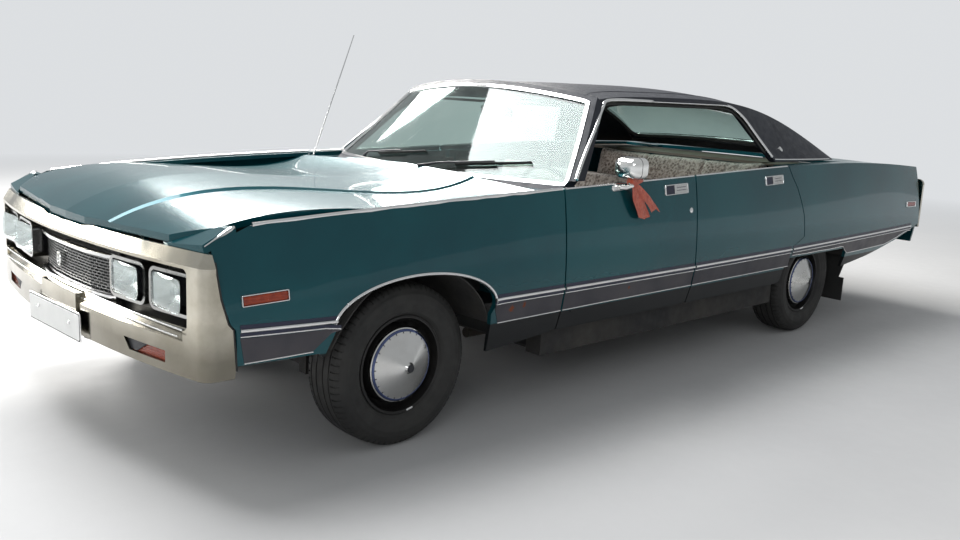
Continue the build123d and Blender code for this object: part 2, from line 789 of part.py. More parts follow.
# Loop bumper, its bow and the pieces that it frames
loop_corner_radius = 48.0
loop_top_slope_height = 44.0
loop_shoulder_radius = 40.0
bar_slope_height = 36.0
bar_slope = 26.0
opening_radius = 20.0
plate_z = 478.0
block_half = 170.0
block_foot_z = 496.0
block_depth = 70.0
turn_inner_y = 505.0
turn_outer_y = 745.0
turn_foot_z = 446.0
turn_top_z = 486.0
turn_depth = 26.0
turn_lens_depth = 14.0
turn_taper = 34.0


def rounded_block(front, back, y0, y1, z0, z1, radius):
    """A bowed piece whose four corners are rounded in the front view."""
    block = bowed_block(front, back, y0, y1, z0, z1)
    return fillet(block.edges().filter_by(Axis.X), radius)


def turn_pocket(gap, front, back):
    """The left turn signal's pocket, made smaller by gap. Its inner end slants."""
    z0 = turn_foot_z + gap
    z1 = turn_top_z - gap
    outline = ((-turn_outer_y + gap, z0), (-turn_outer_y + gap, z1), (-turn_inner_y - gap, z1),
               (-turn_inner_y - turn_taper - gap, z0))
    return bow_solid(front, back, z0, z1) & front_prism(outline, nose_x - 50, nose_x + 500)


def bar_wedge():
    """What the slope along the lower bar's top takes away, ahead of the bar and inside the opening."""
    ahead = 10.0
    drop = bar_slope_height * (bar_slope + ahead) / bar_slope
    whole = bow_solid(loop_setback - ahead, loop_depth, opening_foot_z - drop - 5, opening_foot_z)
    edge = whole.faces().sort_by(Axis.Z)[-1].edges().group_by(Axis.X)[0]
    wedge = whole - chamfer(edge, drop, bar_slope + ahead)
    reach = opening_half - opening_radius - 2
    return wedge & box(nose_x - 50, nose_x + 500, -reach, reach, 0, over_body_z)


def make_front_bumper():
    """The loop bumper: a bowed frame round the grille and lamps, with arms to the fenders."""
    loop = bow_solid(loop_setback, loop_depth, loop_foot_z, loop_top_z)
    corners = loop.edges().filter_by(Axis.Z).group_by(Axis.X)[0]
    loop = fillet(corners, loop_corner_radius)
    loop = chamfer(loop.faces().sort_by(Axis.Z)[-1].edges().group_by(Axis.X)[0],
                   loop_top_slope_height, loop_top_slope)
    side = None
    for sign in (-1, 1):
        y0, y1 = sorted((sign * loop_half, sign * opening_half))
        arm = box(loop_edge_x + loop_corner_radius, nose_x + 260, y0, y1, loop_foot_z, loop_top_z)
        side = arm if side is None else side + arm
    loop += side
    opening = box(nose_x - 20, nose_x + 400, -opening_half, opening_half, opening_foot_z, opening_top_z)
    loop -= fillet(opening.edges().filter_by(Axis.X), opening_radius)
    loop -= bar_wedge()
    beyond = arm_rear(0.0) + [(nose_x + 500, 380), (nose_x + 500, over_body_z)]
    for sign in (-1, 1):
        y0, y1 = sorted((sign * wide_y, sign * (opening_half - 30)))
        loop -= side_prism(beyond, y0, y1)
    shoulder_y = loop_half - loop_shoulder_radius
    shoulder_z = loop_top_z - loop_shoulder_radius
    shoulder = box(nose_x, nose_x + 500, shoulder_y, wide_y, shoulder_z, over_body_z)
    shoulder -= long_cylinder(shoulder_y, shoulder_z, loop_shoulder_radius, nose_x, nose_x + 500)
    loop -= shoulder + other_side(shoulder)
    loop -= plan_prism(hood_outline(-4, 0), loop_top_z - 36, over_body_z)
    loop += bowed_block(0, block_depth, -block_half, block_half, block_foot_z, opening_foot_z)
    pocket = turn_pocket(0.0, 0, loop_setback + turn_depth)
    loop -= pocket + other_side(pocket)
    for sign in (-1, 1):
        bolt = Pos(nose_x, sign * plate_bolt_pitch / 2, plate_z) * Rot(0, 90, 0)
        loop -= bolt * Cylinder(plate_bolt_radius, 3 * loop_depth)
    return loop


save(make_front_bumper(), "front_bumper")
lens_back = loop_setback + turn_depth - running_gap
turn_lens = turn_pocket(running_gap, lens_back - turn_lens_depth, lens_back)
save(turn_lens + other_side(turn_lens), "turn_signals")

# Grille: a folded box with level bars. Columns of the fold: y, distance behind the nose.
grille_fold = ((-343, 92), (-310, 74), (-170, 52), (0, 46), (170, 52), (310, 74), (343, 92))
grille_foot_z = 578.0
grille_top_z = 728.0
grille_depth = 46.0
grille_rim = 9.0
grille_bars = 11
bar_height = 4.0
bar_recess = 8.0
bar_depth = 14.0
rib_pitch = 112.0
panel_front = 100.0


def folded_band(front, back, z0, z1):
    """A band along the grille's folded plan line, from front to back behind it."""
    near = [(nose_x + x + front, y) for y, x in grille_fold]
    far = [(nose_x + x + back, y) for y, x in reversed(grille_fold)]
    return plan_prism(near + far, z0, z1)


def make_grille():
    """The grille: a folded rim with thin level bars and upright ribs behind them."""
    reach = nose_x + panel_front
    half = grille_fold[-1][0]
    rim = folded_band(0, grille_depth, grille_foot_z, grille_top_z)
    rim -= folded_band(-1, grille_depth + 1, grille_foot_z + grille_rim, grille_top_z - grille_rim)
    for sign in (-1, 1):
        y0, y1 = sorted((sign * half, sign * (half - grille_rim)))
        rim += folded_band(0, grille_depth, grille_foot_z, grille_top_z) & box(
            nose_x, reach + grille_depth, y0, y1, grille_foot_z, grille_top_z)
    pitch = (grille_top_z - grille_foot_z - 2 * grille_rim) / (grille_bars + 1)
    for index in range(grille_bars):
        z = grille_foot_z + grille_rim + pitch * (index + 1)
        rim += folded_band(bar_recess, bar_recess + bar_depth, z - bar_height / 2, z + bar_height / 2)
    ribs = int(half / rib_pitch)
    for index in range(-ribs, ribs + 1):
        y = index * rib_pitch
        rim += folded_band(bar_recess + bar_depth - 4, grille_depth, grille_foot_z, grille_top_z) & box(
            nose_x, reach + grille_depth, y - 2, y + 2, grille_foot_z, grille_top_z)
    return rim & box(nose_x, reach - running_gap, -half, half, 0, over_body_z)


save(make_grille(), "grille")
lamp_panel_half = opening_half - running_gap
lamp_panel = rounded_block(panel_front, panel_front + 10, -lamp_panel_half, lamp_panel_half,
                           opening_foot_z + running_gap, opening_top_z - running_gap, opening_radius)
lamp_panel += box(nose_x + panel_front, nose_x + panel_front + 14, -grille_fold[-1][0], grille_fold[-1][0],
                  opening_foot_z + running_gap, opening_top_z - running_gap)
save(lamp_panel, "lamp_panel")

# Headlamps: the middles of the left and right lamps, and their sizes
lamp_centres = (492.0, 740.0)
lamp_half = 100.0
lamp_foot_z = 616.0
lamp_top_z = 738.0
lamp_radius = 20.0
lamp_front = 20.0
bezel_wall = 12.0
bezel_front = 28.0


def lamp_blocks(grow, front, back):
    """The four lamps' rounded blocks, grown by grow."""
    blocks = None
    for sign in (-1, 1):
        for centre in lamp_centres:
            y = sign * centre
            block = rounded_block(front, back, y - lamp_half - grow, y + lamp_half + grow,
                                  lamp_foot_z - grow, lamp_top_z + grow, lamp_radius + grow)
            blocks = block if blocks is None else blocks + block
    return blocks


save(lamp_blocks(0.0, lamp_front, panel_front - running_gap), "headlamps")
bezels = lamp_blocks(bezel_wall, bezel_front, panel_front - running_gap)
save(bezels - lamp_blocks(running_gap, 0, panel_front + 1), "lamp_bezels")

# Rear bumper and lamps
rear_bumper_foot_z = 560.0
rear_bumper_top_z = 900.0
rear_bar_top_z = 700.0
rear_lamp_head_z = 868.0
rear_opening_half = opening_half + 1.0
rear_bumper_half = loop_half - 6.0
rear_plate_z = 630.0
bracket_y = 420.0
bracket_half = 40.0
tail_lamp_inner_y = 360.0
tail_lamp_outer_y = rear_opening_half - 12.0
tail_lamp_foot_z = rear_bar_top_z + 12.0
tail_lamp_top_z = rear_lamp_head_z - 12.0
tail_lamp_depth = 22.0
tail_panel_rear_x = deck_rear_x + panel_gap


def make_rear_bumper():
    """The rear bumper: a bowed bar whose ends and top bar frame the tail lamps."""
    flat = quarter_rear_x + 3
    bar = mirror(bow_solid(0, loop_depth, rear_bumper_foot_z, rear_bumper_top_z), about=Plane.YZ)
    bar &= box(flat, tail_x + 10, -rear_bumper_half, rear_bumper_half, 0, over_body_z)
    bar = chamfer(bar.faces().sort_by(Axis.Z)[-1].edges().group_by(Axis.X)[-1], 14)
    bar += box(flat, flat + 24, -rear_bumper_half, rear_bumper_half, rear_bumper_foot_z, rear_bumper_top_z)
    opening = box(flat - 10, tail_x + 10, -rear_opening_half, rear_opening_half, rear_bar_top_z,
                  rear_lamp_head_z)
    bar -= fillet(opening.edges().filter_by(Axis.X), opening_radius)
    shoulder_y = rear_bumper_half - loop_shoulder_radius
    shoulder_z = rear_bumper_top_z - loop_shoulder_radius
    shoulder = box(flat - 10, tail_x + 10, shoulder_y, wide_y, shoulder_z, over_body_z)
    shoulder -= long_cylinder(shoulder_y, shoulder_z, loop_shoulder_radius, flat - 10, tail_x + 10)
    bar -= shoulder + other_side(shoulder)
    bar += twin_boxes(tail_panel_rear_x + running_gap, flat + 4, bracket_y - bracket_half,
                      bracket_y + bracket_half, rear_bumper_foot_z + 20, rear_bar_top_z - 20)
    for sign in (-1, 1):
        bolt = Pos(tail_x, sign * plate_bolt_pitch / 2, rear_plate_z) * Rot(0, 90, 0)
        bar -= bolt * Cylinder(plate_bolt_radius, 3 * loop_depth)
    return bar


save(make_rear_bumper(), "rear_bumper")
lamp_bars = twin_boxes(tail_panel_rear_x + running_gap, tail_panel_rear_x + tail_lamp_depth,
                       tail_lamp_inner_y, tail_lamp_outer_y, tail_lamp_foot_z, tail_lamp_top_z)
save(fillet(lamp_bars.edges().filter_by(Axis.X), 18), "tail_lamps")

# Tyre: a ring of flats, so that it stands on one of them as a loaded tyre does
tyre_sides = 60
tyre_shoulder = 20.0
tyre_crown_half = 62.0


def ring_wire(axial, radius):
    """One many-sided outline round the Y axis, its flats at the given radius."""
    corner = Vector(0, 0, -radius / cos_half_side)
    points = [corner.rotate(Axis.Y, 360 * (index + 0.5) / tyre_sides) + Vector(0, axial, 0)
              for index in range(tyre_sides)]
    return Wire.make_polygon(points, close=True)


cos_half_side = Vector(1, 0, 0).rotate(Axis.Y, 180 / tyre_sides).X


def ring_solid(rows):
    """A solid through many-sided outlines, given as (axial, radius) rows."""
    return Solid.make_loft([ring_wire(axial, radius) for axial, radius in rows], ruled=True)


def make_tyre():
    """A tyre about the origin, its axis along Y."""
    half = tyre_width / 2
    bead = rim_width / 2 - rim_wall - running_gap
    bead_top = tyre_bead_radius + rim_flange_rise + 1
    belly = tyre_bead_radius + 62
    right = ((tyre_crown_half, tyre_radius), (half - 12, tyre_radius - tyre_shoulder), (half, belly),
             (bead, bead_top), (bead, tyre_bead_radius))
    rows = [(-axial, radius) for axial, radius in reversed(right)] + list(right)
    rows[0] = (-bead - 0.01, tyre_bead_radius)
    rows[-1] = (bead + 0.01, tyre_bead_radius)
    crown = tyre_radius - tyre_wall
    inner = ((-half + tyre_wall + 30, tyre_bead_radius - 1), (-half + tyre_wall, belly),
             (-tyre_crown_half + 4, crown), (tyre_crown_half - 4, crown),
             (half - tyre_wall, belly), (half - tyre_wall - 30, tyre_bead_radius - 1))
    bore = cross_cylinder(0, 0, tyre_bead_radius, -half, half)
    return ring_solid(rows) - ring_solid(inner) - bore


def revolve_profile(points):
    """Turn an (axial, radius) outline round the Y axis through the origin."""
    outline = Polyline(*[(radius, axial, 0) for axial, radius in points], close=True)
    return revolve(make_face(outline), axis=Axis.Y, revolution_arc=360)




def make_rim():
    """A pressed steel wheel about the origin, its outer face towards -Y."""
    half = rim_width / 2
    seat = tyre_bead_radius - running_gap
    flange = tyre_bead_radius + rim_flange_rise
    well = tyre_bead_radius - rim_well_depth
    barrel = revolve_profile((
        (-half, flange), (-half, seat - rim_wall), (-half + 34, well + 14), (-half + 60, well - rim_wall),
        (half - 40, well - rim_wall), (half, seat - rim_wall), (half, flange), (half - rim_wall, flange),
        (half - rim_wall, seat), (half - 42, well), (-half + 62, well), (-half + 36, well + 20),
        (-half + rim_wall, seat), (-half + rim_wall, flange),
    ))
    hub = -hub_face_offset
    ridge = -disc_ridge_offset
    disc = revolve_profile((
        (hub - disc_thickness, 0), (hub - disc_thickness, 84), (ridge, 112), (ridge, cap_radius),
        (ridge + 14, cap_radius + 4), (-half + 64, well - 2), (-half + 72, well - 2),
        (ridge + 22, cap_radius), (ridge + disc_thickness, cap_radius - 4), (ridge + disc_thickness, 116),
        (hub, 90), (hub, 0),
    ))
    return barrel + disc


def make_cap():
    """A conical hubcap about the origin, its nose towards -Y."""
    seat = -disc_ridge_offset - running_gap
    lip = seat - cap_skirt
    nose = lip - cap_height
    wall = cap_wall
    nose_r = cap_nose_radius
    return revolve_profile((
        (seat, cap_radius), (lip, cap_radius), (lip - 8, cap_radius - 14), (nose + 8, nose_r + 6),
        (nose, nose_r), (nose, 0), (nose + wall, 0), (nose + wall, nose_r - 2), (nose + 8 + wall, nose_r + 4),
        (lip - 8 + wall, cap_radius - 18), (lip + 4, cap_radius - 4), (seat, cap_radius - 4),
    ))


wheel_places = (
    ("front_left", front_axle_x, -1), ("front_right", front_axle_x, 1),
    ("rear_left", rear_axle_x, -1), ("rear_right", rear_axle_x, 1),
)
wheel_pieces = (("tyre", make_tyre()), ("rim", make_rim()), ("hubcap", make_cap()))
for name, x, sign in wheel_places:
    for piece, shape in wheel_pieces:
        placed = Pos(x, -half_track, tyre_radius) * shape
        save(placed if sign < 0 else other_side(placed), piece + "_" + name)

# Running gear
drum_face_y = half_track + hub_face_offset - running_gap
kingpin_radius = 22.0
arm_base_y = 400.0
arm_base_half = 130.0
arm_tip_half = 26.0


def make_knuckle():
    """Left front knuckle: a round upright on the steering axis, with the drum and a steering arm."""
    drum = cross_cylinder(front_axle_x, tyre_radius, drum_radius, -drum_face_y, -drum_face_y + drum_depth)
    upright = Pos(front_axle_x, -kingpin_y, tyre_radius) * Cylinder(kingpin_radius, 2 * ball_joint_rise)
    spindle = cross_cylinder(front_axle_x, tyre_radius, 40, -drum_face_y + drum_depth - 2, -kingpin_y)
    arm = box(front_axle_x, front_axle_x + 140, -kingpin_y - 12, -kingpin_y + 12, tyre_radius - 50,
              tyre_radius - 32)
    return drum + upright + spindle + arm


left_knuckle = make_knuckle()
save(left_knuckle, "knuckle_left")
save(other_side(left_knuckle), "knuckle_right")


def control_arm(z0):
    """A left A-shaped control arm with its opening, from the crossmember to the ball joint."""
    tip_y = -kingpin_y - kingpin_radius - 2
    outer = plan_prism(((front_axle_x - arm_base_half, -arm_base_y),
                        (front_axle_x + arm_base_half, -arm_base_y),
                        (front_axle_x + arm_tip_half, tip_y), (front_axle_x - arm_tip_half, tip_y)),
                       z0, z0 + arm_height)
    inner = plan_prism(((front_axle_x - arm_base_half + 44, -arm_base_y - 30),
                        (front_axle_x + arm_base_half - 44, -arm_base_y - 30),
                        (front_axle_x, -kingpin_y + 70)), z0 - 1, z0 + arm_height + 1)
    return outer - inner


def make_crossmember():
    """Front crossmember with the control arms that reach the knuckles."""
    reach = ball_joint_rise + running_gap
    low = tyre_radius - reach - arm_height
    high = tyre_radius + reach
    body = box(front_axle_x - 70, front_axle_x + 70, -arm_base_y, arm_base_y, low, 290)
    tower = box(front_axle_x - arm_base_half, front_axle_x + arm_base_half, -arm_base_y - 26,
                -arm_base_y + 26, low, high + arm_height)
    side = tower + control_arm(low) + control_arm(high)
    return body + side + other_side(side)


save(make_crossmember(), "front_crossmember")
rail_foot_z = tyre_radius + ball_joint_rise + arm_height + 2 * running_gap
rail_inner_y = 400.0
rail_outer_y = 500.0
rail_height = 86.0
apron_wall = 16.0


def make_front_frame():
    """Front rails, inner wheel walls with their wheelhouses, and the radiator support."""
    rear = firewall_x - running_gap
    front = fender_front_x + sheet
    rail = box(nose_x + 60, rear, rail_inner_y, rail_outer_y, rail_foot_z, rail_foot_z + rail_height)
    apron = ((front, rail_foot_z), (front, support_top_z), (front_axle_x - 400, support_top_z + 80),
             (rear, support_top_z + 120), (rear, rail_foot_z))
    side = rail + side_prism(apron, rail_outer_y - apron_wall, rail_outer_y)
    house = arch_sheet(front_axle_x, wheelhouse_radius, rail_outer_y - apron_wall, wide_y, rail_foot_z)
    side += house & body_room
    body = side + other_side(side)
    body += box(fender_front_x, front, -rail_outer_y, rail_outer_y, rail_foot_z, support_top_z)
    return body - bow_solid(-loop_bow, loop_depth + running_gap, 0, over_body_z)


save(make_front_frame(), "front_frame")
save(box(engine_rear_x - 520, engine_rear_x, -250, 250, 300, 760), "engine")


def make_rear_axle():
    """Rear axle: tube, differential and the drums behind the wheels."""
    axle = cross_cylinder(rear_axle_x, tyre_radius, axle_tube_radius, -drum_face_y + 10, drum_face_y - 10)
    axle += Pos(rear_axle_x, 0, tyre_radius) * Sphere(differential_radius)
    for y0, y1 in ((-drum_face_y, -drum_face_y + drum_depth), (drum_face_y - drum_depth, drum_face_y)):
        axle += cross_cylinder(rear_axle_x, tyre_radius, drum_radius, y0, y1)
    return axle


save(make_rear_axle(), "rear_axle")
leaf_top_z = tyre_radius - axle_tube_radius - running_gap
leaf_thickness = 26.0
leaf_inner_y = 496.0
leaf_outer_y = 560.0
leaf_front = 640.0
leaf_rear = 760.0
shackle_width = 30.0


def make_leaf_springs():
    """Leaf springs under the rear axle, hung from the floor at both ends."""
    low = leaf_top_z - leaf_thickness
    high = trunk_floor_z - floor_thickness - running_gap
    spring = box(rear_axle_x - leaf_front, rear_axle_x + leaf_rear, leaf_inner_y, leaf_outer_y,
                 low, leaf_top_z)
    spring += box(rear_axle_x - leaf_front / 2, rear_axle_x + leaf_rear / 2, leaf_inner_y, leaf_outer_y,
                  low - 10, leaf_top_z)
    for x in (rear_axle_x - leaf_front, rear_axle_x + leaf_rear - shackle_width):
        spring += box(x, x + shackle_width, leaf_inner_y, leaf_outer_y, low, high)
    return spring + other_side(spring)


save(make_leaf_springs(), "leaf_springs")
save(long_cylinder(0, tyre_radius, shaft_radius, engine_rear_x + running_gap,
                   rear_axle_x - differential_radius - running_gap), "drive_shaft")

# Exhaust and fuel tank, hung under the floor
exhaust_y = -330.0
exhaust_z = floor_z - floor_thickness - muffler_radius - running_gap
pipe_radius = 25.0
muffler_front_x = door_split_x + 190
muffler_length = 500.0
exhaust = long_cylinder(exhaust_y, exhaust_z, pipe_radius, door_front_x + 68, deck_rear_x - 520)
exhaust += long_cylinder(exhaust_y, exhaust_z, muffler_radius, muffler_front_x,
                         muffler_front_x + muffler_length)
save(exhaust, "exhaust")
tank = box(rear_axle_x + 700, rear_axle_x + 1400, -380, 380, 260,
           trunk_floor_z - floor_thickness - running_gap)
save(fillet(tank.edges().filter_by(Axis.X), 30), "fuel_tank")

# Mud flaps behind the rear wheels
flap_x = rear_axle_x + wheelhouse_radius + 46
flap_thickness = 8.0
flap_inner_y = half_track - 55.0
flap_foot_z = 150.0
flap_top_z = 480.0
flap = box(flap_x, flap_x + flap_thickness, -wide_y, -flap_inner_y, flap_foot_z, flap_top_z)
flap_room = side_room + box(flap_x, flap_x + flap_thickness, -body_half_width + 60, 0, 0, 300)
flap &= flap_room
save(flap + other_side(flap), "mud_flaps")

# Seats
seat_riser_inner = 260.0
seat_riser_outer = 640.0
seat_round = 36.0


def seat(front, rear, half, base_z, cushion_z, back_z):
    """A bench seat with its back, as one solid."""
    points = (
        (front, base_z), (front, cushion_z - 30), (front + 40, cushion_z), (rear - 160, cushion_z - 30),
        (rear - 60, back_z), (rear + 40, back_z - 20), (rear + 20, base_z),
    )
    bench = side_prism(points, -half, half)
    tops = bench.edges().filter_by(Axis.Y).group_by(Axis.Z)[-2:]
    return fillet(tops[0] + tops[1], 18)


front_seat_half = cabin_half - 90.0
front_seat = seat(door_split_x - 282, door_split_x + 368, front_seat_half, 440, 560, 970)
front_seat += twin_boxes(door_split_x - 192, door_split_x + 318, seat_riser_inner, seat_riser_outer,
                         floor_z + running_gap, 450)
save(front_seat, "front_seat")
rear_seat = seat(rear_seat_pan_x - 60, rear_seat_pan_x + 590, rear_house_y - 6,
                 trunk_floor_z + running_gap, 610, 1045)
save(rear_seat, "rear_seat")
shelf_z = 1000.0
shelf = box(rear_axle_x - 67.5, deck_front_x - 77.5, -wide_y, wide_y, shelf_z, shelf_z + floor_thickness)
save(shelf & body_room, "parcel_shelf")

# Dashboard and steering wheel
dash_front_x = door_front_x + 18
dash_face = (
    (door_front_x + 218, dash_top_z - running_gap), (door_front_x + 318, 830), (door_front_x + 328, 720),
    (door_front_x + 218, 600),
)
dash = side_prism(((dash_front_x, 560), (dash_front_x, dash_top_z - running_gap)) + dash_face,
                  -cabin_inner_half, cabin_inner_half)
save(dash, "dashboard")
wheel_tilt = 25.0
ring_radius = 195.0
ring_thickness = 12.0
steering_x = door_front_x + 558
steering_y = -400.0
steering_z = 830.0
column_radius = 30.0
spoke_width = 40.0
steering_place = Pos(steering_x, steering_y, steering_z) * Rot(0, 90 - wheel_tilt, 0)
steering = Torus(ring_radius, ring_thickness) + Box(spoke_width, 2 * ring_radius - ring_thickness, 16)
steering += Pos(0, 0, -150) * Cylinder(column_radius, 300)
behind_face = [(x + running_gap, z) for x, z in dash_face]
behind_face += [(door_front_x - 180, 500), (door_front_x - 180, over_body_z)]
save(steering_place * steering - side_prism(behind_face, -cabin_half, cabin_half), "steering_wheel")

# Mirror with its foot on the front door, and the ribbon tied to it
mirror_x = door_front_x + 438
mirror_y = -(body_half_width - 21.0)
mirror_foot_inset = 28.0
mirror_foot_width = 50.0
mirror_z = 1060.0
mirror_depth = 80.0
mirror_width = 136.0
mirror_height = 96.0
mirror_round = 24.0
ribbon_thickness = 4.0
ribbon_width = 90.0
ribbon_drop = 172.0
head = Pos(mirror_x, mirror_y, mirror_z) * Box(mirror_depth, mirror_width, mirror_height)
head = fillet(head.edges().filter_by(Axis.X), mirror_round)
head = fillet(head.edges().group_by(Axis.X)[0], 10)
foot_y = -(body_half_width - mirror_foot_inset)
foot = box(mirror_x - 80, mirror_x - 10, foot_y, foot_y + mirror_foot_width, 960,
           mirror_z - mirror_height / 2 + 18)
save(head + foot - side_slab(-running_gap, sill_foot_z), "mirror")
ribbon_top = mirror_z - mirror_height / 2 - running_gap
ribbon = box(mirror_x + 6, mirror_x + 6 + ribbon_width, mirror_y - 28, mirror_y - 28 + ribbon_thickness,
             ribbon_top - ribbon_drop, ribbon_top)
save(ribbon, "ribbon")

# Aerial on the right wing of the cowl
aerial_x = hood_rear_x + 27
aerial_y = crest_at(aerial_x)[0] - crest_ledge - 64
aerial_lean = 21.0
aerial_length = 720.0
aerial_radius = 3.0
aerial_foot_radius = 9.0
cowl_top_z = dash_top_z + 50
aerial = Pos(aerial_x, aerial_y, cowl_top_z + 5) * Rot(0, aerial_lean, 0) * Pos(0, 0, aerial_length / 2) * (
    Cylinder(aerial_radius, aerial_length))
aerial += Pos(aerial_x, aerial_y, cowl_top_z + 7 + running_gap) * Cylinder(aerial_foot_radius, 14)
save(aerial, "aerial")
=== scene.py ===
import json
from math import ceil, cos, pi, radians, sin

import bmesh
import bpy
from mathutils import Matrix, Vector
from mathutils.bvhtree import BVHTree


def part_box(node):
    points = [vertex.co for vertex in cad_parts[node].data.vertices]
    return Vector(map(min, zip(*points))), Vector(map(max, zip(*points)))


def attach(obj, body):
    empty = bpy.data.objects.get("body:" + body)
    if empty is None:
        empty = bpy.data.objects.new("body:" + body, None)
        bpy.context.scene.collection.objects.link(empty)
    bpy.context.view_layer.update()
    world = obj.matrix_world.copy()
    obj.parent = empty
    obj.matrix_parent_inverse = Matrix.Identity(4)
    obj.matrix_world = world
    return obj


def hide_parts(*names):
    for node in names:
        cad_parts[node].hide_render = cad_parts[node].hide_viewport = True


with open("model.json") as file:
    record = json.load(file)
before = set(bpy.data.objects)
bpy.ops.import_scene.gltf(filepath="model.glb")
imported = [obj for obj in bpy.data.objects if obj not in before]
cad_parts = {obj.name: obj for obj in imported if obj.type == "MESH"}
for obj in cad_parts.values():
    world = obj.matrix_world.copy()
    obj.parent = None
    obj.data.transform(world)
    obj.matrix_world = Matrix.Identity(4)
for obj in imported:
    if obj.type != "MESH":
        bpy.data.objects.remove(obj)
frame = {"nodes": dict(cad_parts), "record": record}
nodes = frame["nodes"]
scene = bpy.context.scene
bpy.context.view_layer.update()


def vec(x, y, z):
    """A point or direction."""
    return Vector((x, y, z))


X, Y, Z = vec(1, 0, 0), vec(0, 1, 0), vec(0, 0, 1)

# Places read from the frame, in metres
bumper_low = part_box("front_bumper")[0]
nose = bumper_low.x
half_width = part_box("door_front_right")[1].y
door_low, door_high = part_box("door_front_left")
rear_low, rear_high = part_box("door_rear_left")
fender_low, fender_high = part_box("front_fender_left")
quarter_low, quarter_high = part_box("quarter_left")
front_axle = (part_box("tyre_front_left")[0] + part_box("tyre_front_left")[1]) / 2

# Bodies that come as a left and a right one
sided_bodies = ("door_front", "door_rear", "wheel_front", "wheel_rear")

# Edges sharper than this, in degrees, stay sharp: on plain pieces and on soft ones
plain_crease, soft_crease = 38, 60
# How far the edge of a laid strip or patch goes into the surface under it
sunk = 0.002


# Mesh making

def new_piece(name, verts, faces, crease=plain_crease):
    """A mesh object with its normals put right and its sharp edges kept."""
    mesh = bpy.data.meshes.new(name)
    mesh.from_pydata([tuple(v) for v in verts], [], faces)
    return settle(bpy.data.objects.new(name, mesh), crease)


def settle(piece, crease=plain_crease):
    """Put a piece's normals right, smooth it and link it."""
    work = bmesh.new()
    work.from_mesh(piece.data)
    bmesh.ops.remove_doubles(work, verts=work.verts, dist=1e-6)
    bmesh.ops.recalc_face_normals(work, faces=work.faces)
    work.to_mesh(piece.data)
    work.free()
    piece.data.shade_smooth()
    piece.data.set_sharp_from_angle(angle=radians(crease))
    if piece.name not in scene.collection.objects:
        scene.collection.objects.link(piece)
    return piece


def join(name, pieces, crease=plain_crease):
    """Several pieces as one mesh object, still without a finish."""
    verts, faces = [], []
    for piece in pieces:
        start = len(verts)
        verts += [v.co.copy() for v in piece.data.vertices]
        faces += [[start + i for i in face.vertices] for face in piece.data.polygons]
        bpy.data.objects.remove(piece)
    return new_piece(name, verts, faces, crease)


def mirrored(piece, name):
    """A copy of a piece on the other side of the car."""
    mesh = piece.data.copy()
    mesh.transform(Matrix.Scale(-1, 4, Y))
    mesh.flip_normals()
    mesh.name = name
    copy = bpy.data.objects.new(name, mesh)
    scene.collection.objects.link(copy)
    return copy


def coat(piece, finish):
    """Give a piece one finish."""
    piece.data.materials.clear()
    piece.data.materials.append(finish)


def dress(piece, finish, body="body", slot=None):
    """Give a piece its finish and the body that it rides on. The slot is looked up but not kept."""
    coat(piece, finish)
    slot = slot or finish_slots[finish.name]
    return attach(piece, body)


def dress_pair(piece, finish, body="body"):
    """Dress a left piece and its mirror image on the right."""
    plain = piece.name
    other = mirrored(piece, plain + "_right")
    piece.name = plain + "_left"
    for one, side in ((piece, "_left"), (other, "_right")):
        dress(one, finish, body + side if body in sided_bodies else body)
    return piece, other


def grid_faces(rows, columns, closed=False):
    """Quads over rows of points, joined round where closed."""
    wrap = columns if closed else columns - 1
    return [(r * columns + c, r * columns + (c + 1) % columns,
             (r + 1) * columns + (c + 1) % columns, (r + 1) * columns + c)
            for r in range(rows - 1) for c in range(wrap)]


def sheet_faces(rows, columns):
    """The faces of a thin sheet: a grid of points in front, as many behind, and the rim between them."""
    width = columns + 1
    start = (rows + 1) * width
    faces = grid_faces(rows + 1, width)
    faces += [tuple(start + i for i in reversed(face)) for face in faces]
    rim = list(range(width)) + [r * width + columns for r in range(1, rows + 1)]
    rim += [rows * width + c for c in range(columns - 1, -1, -1)] + [r * width for r in range(rows - 1, 0, -1)]
    return faces + [(a, b, start + b, start + a) for a, b in zip(rim, rim[1:] + rim[:1])]


def swept(name, spine, profile, loop=False):
    """A profile of (across, out) points, carried along a spine of (point, out direction) rows."""
    verts = []
    count = len(spine)
    for index, (point, out) in enumerate(spine):
        before = spine[(index - 1) % count if loop else max(index - 1, 0)][0]
        after = spine[(index + 1) % count if loop else min(index + 1, count - 1)][0]
        along = (after - before).normalized()
        out = (out - along * out.dot(along)).normalized()
        across = out.cross(along)
        verts += [point + across * a + out * b for a, b in profile]
    width = len(profile)
    faces = grid_faces(count, width, closed=True)
    if loop:
        last = (count - 1) * width
        faces += [(last + c, last + (c + 1) % width, (c + 1) % width, c) for c in range(width)]
    else:
        faces.append(tuple(range(width)))
        faces.append(tuple(range((count - 1) * width, count * width)))
    return new_piece(name, verts, faces)


def half_round(width, height, steps=5):
    """The profile of a half-round moulding, its back in the surface."""
    rows = [(width / 2 * cos(pi * i / steps), height * sin(pi * i / steps)) for i in range(steps + 1)]
    return rows + [(-width / 2, -sunk), (width / 2, -sunk)]


def flat_strip(width, height, edge=0.0015):
    """The profile of a flat strip with small rounded edges."""
    half = width / 2
    return [(half, -sunk), (half, height - edge), (half - edge, height), (-half + edge, height),
            (-half, height - edge), (-half, -sunk)]


def lathe(name, rows, steps, place=None, centre=Vector()):
    """Rows of (distance towards -Y, radius) turned round the Y axis through centre, then carried to a place."""
    verts = []
    for axial, radius in rows:
        for step in range(steps):
            turn = 2 * pi * step / steps
            verts.append(centre + vec(radius * cos(turn), -axial, radius * sin(turn)))
    piece = new_piece(name, verts, grid_faces(len(rows), steps, closed=True))
    if place:
        piece.data.transform(place)
    return piece


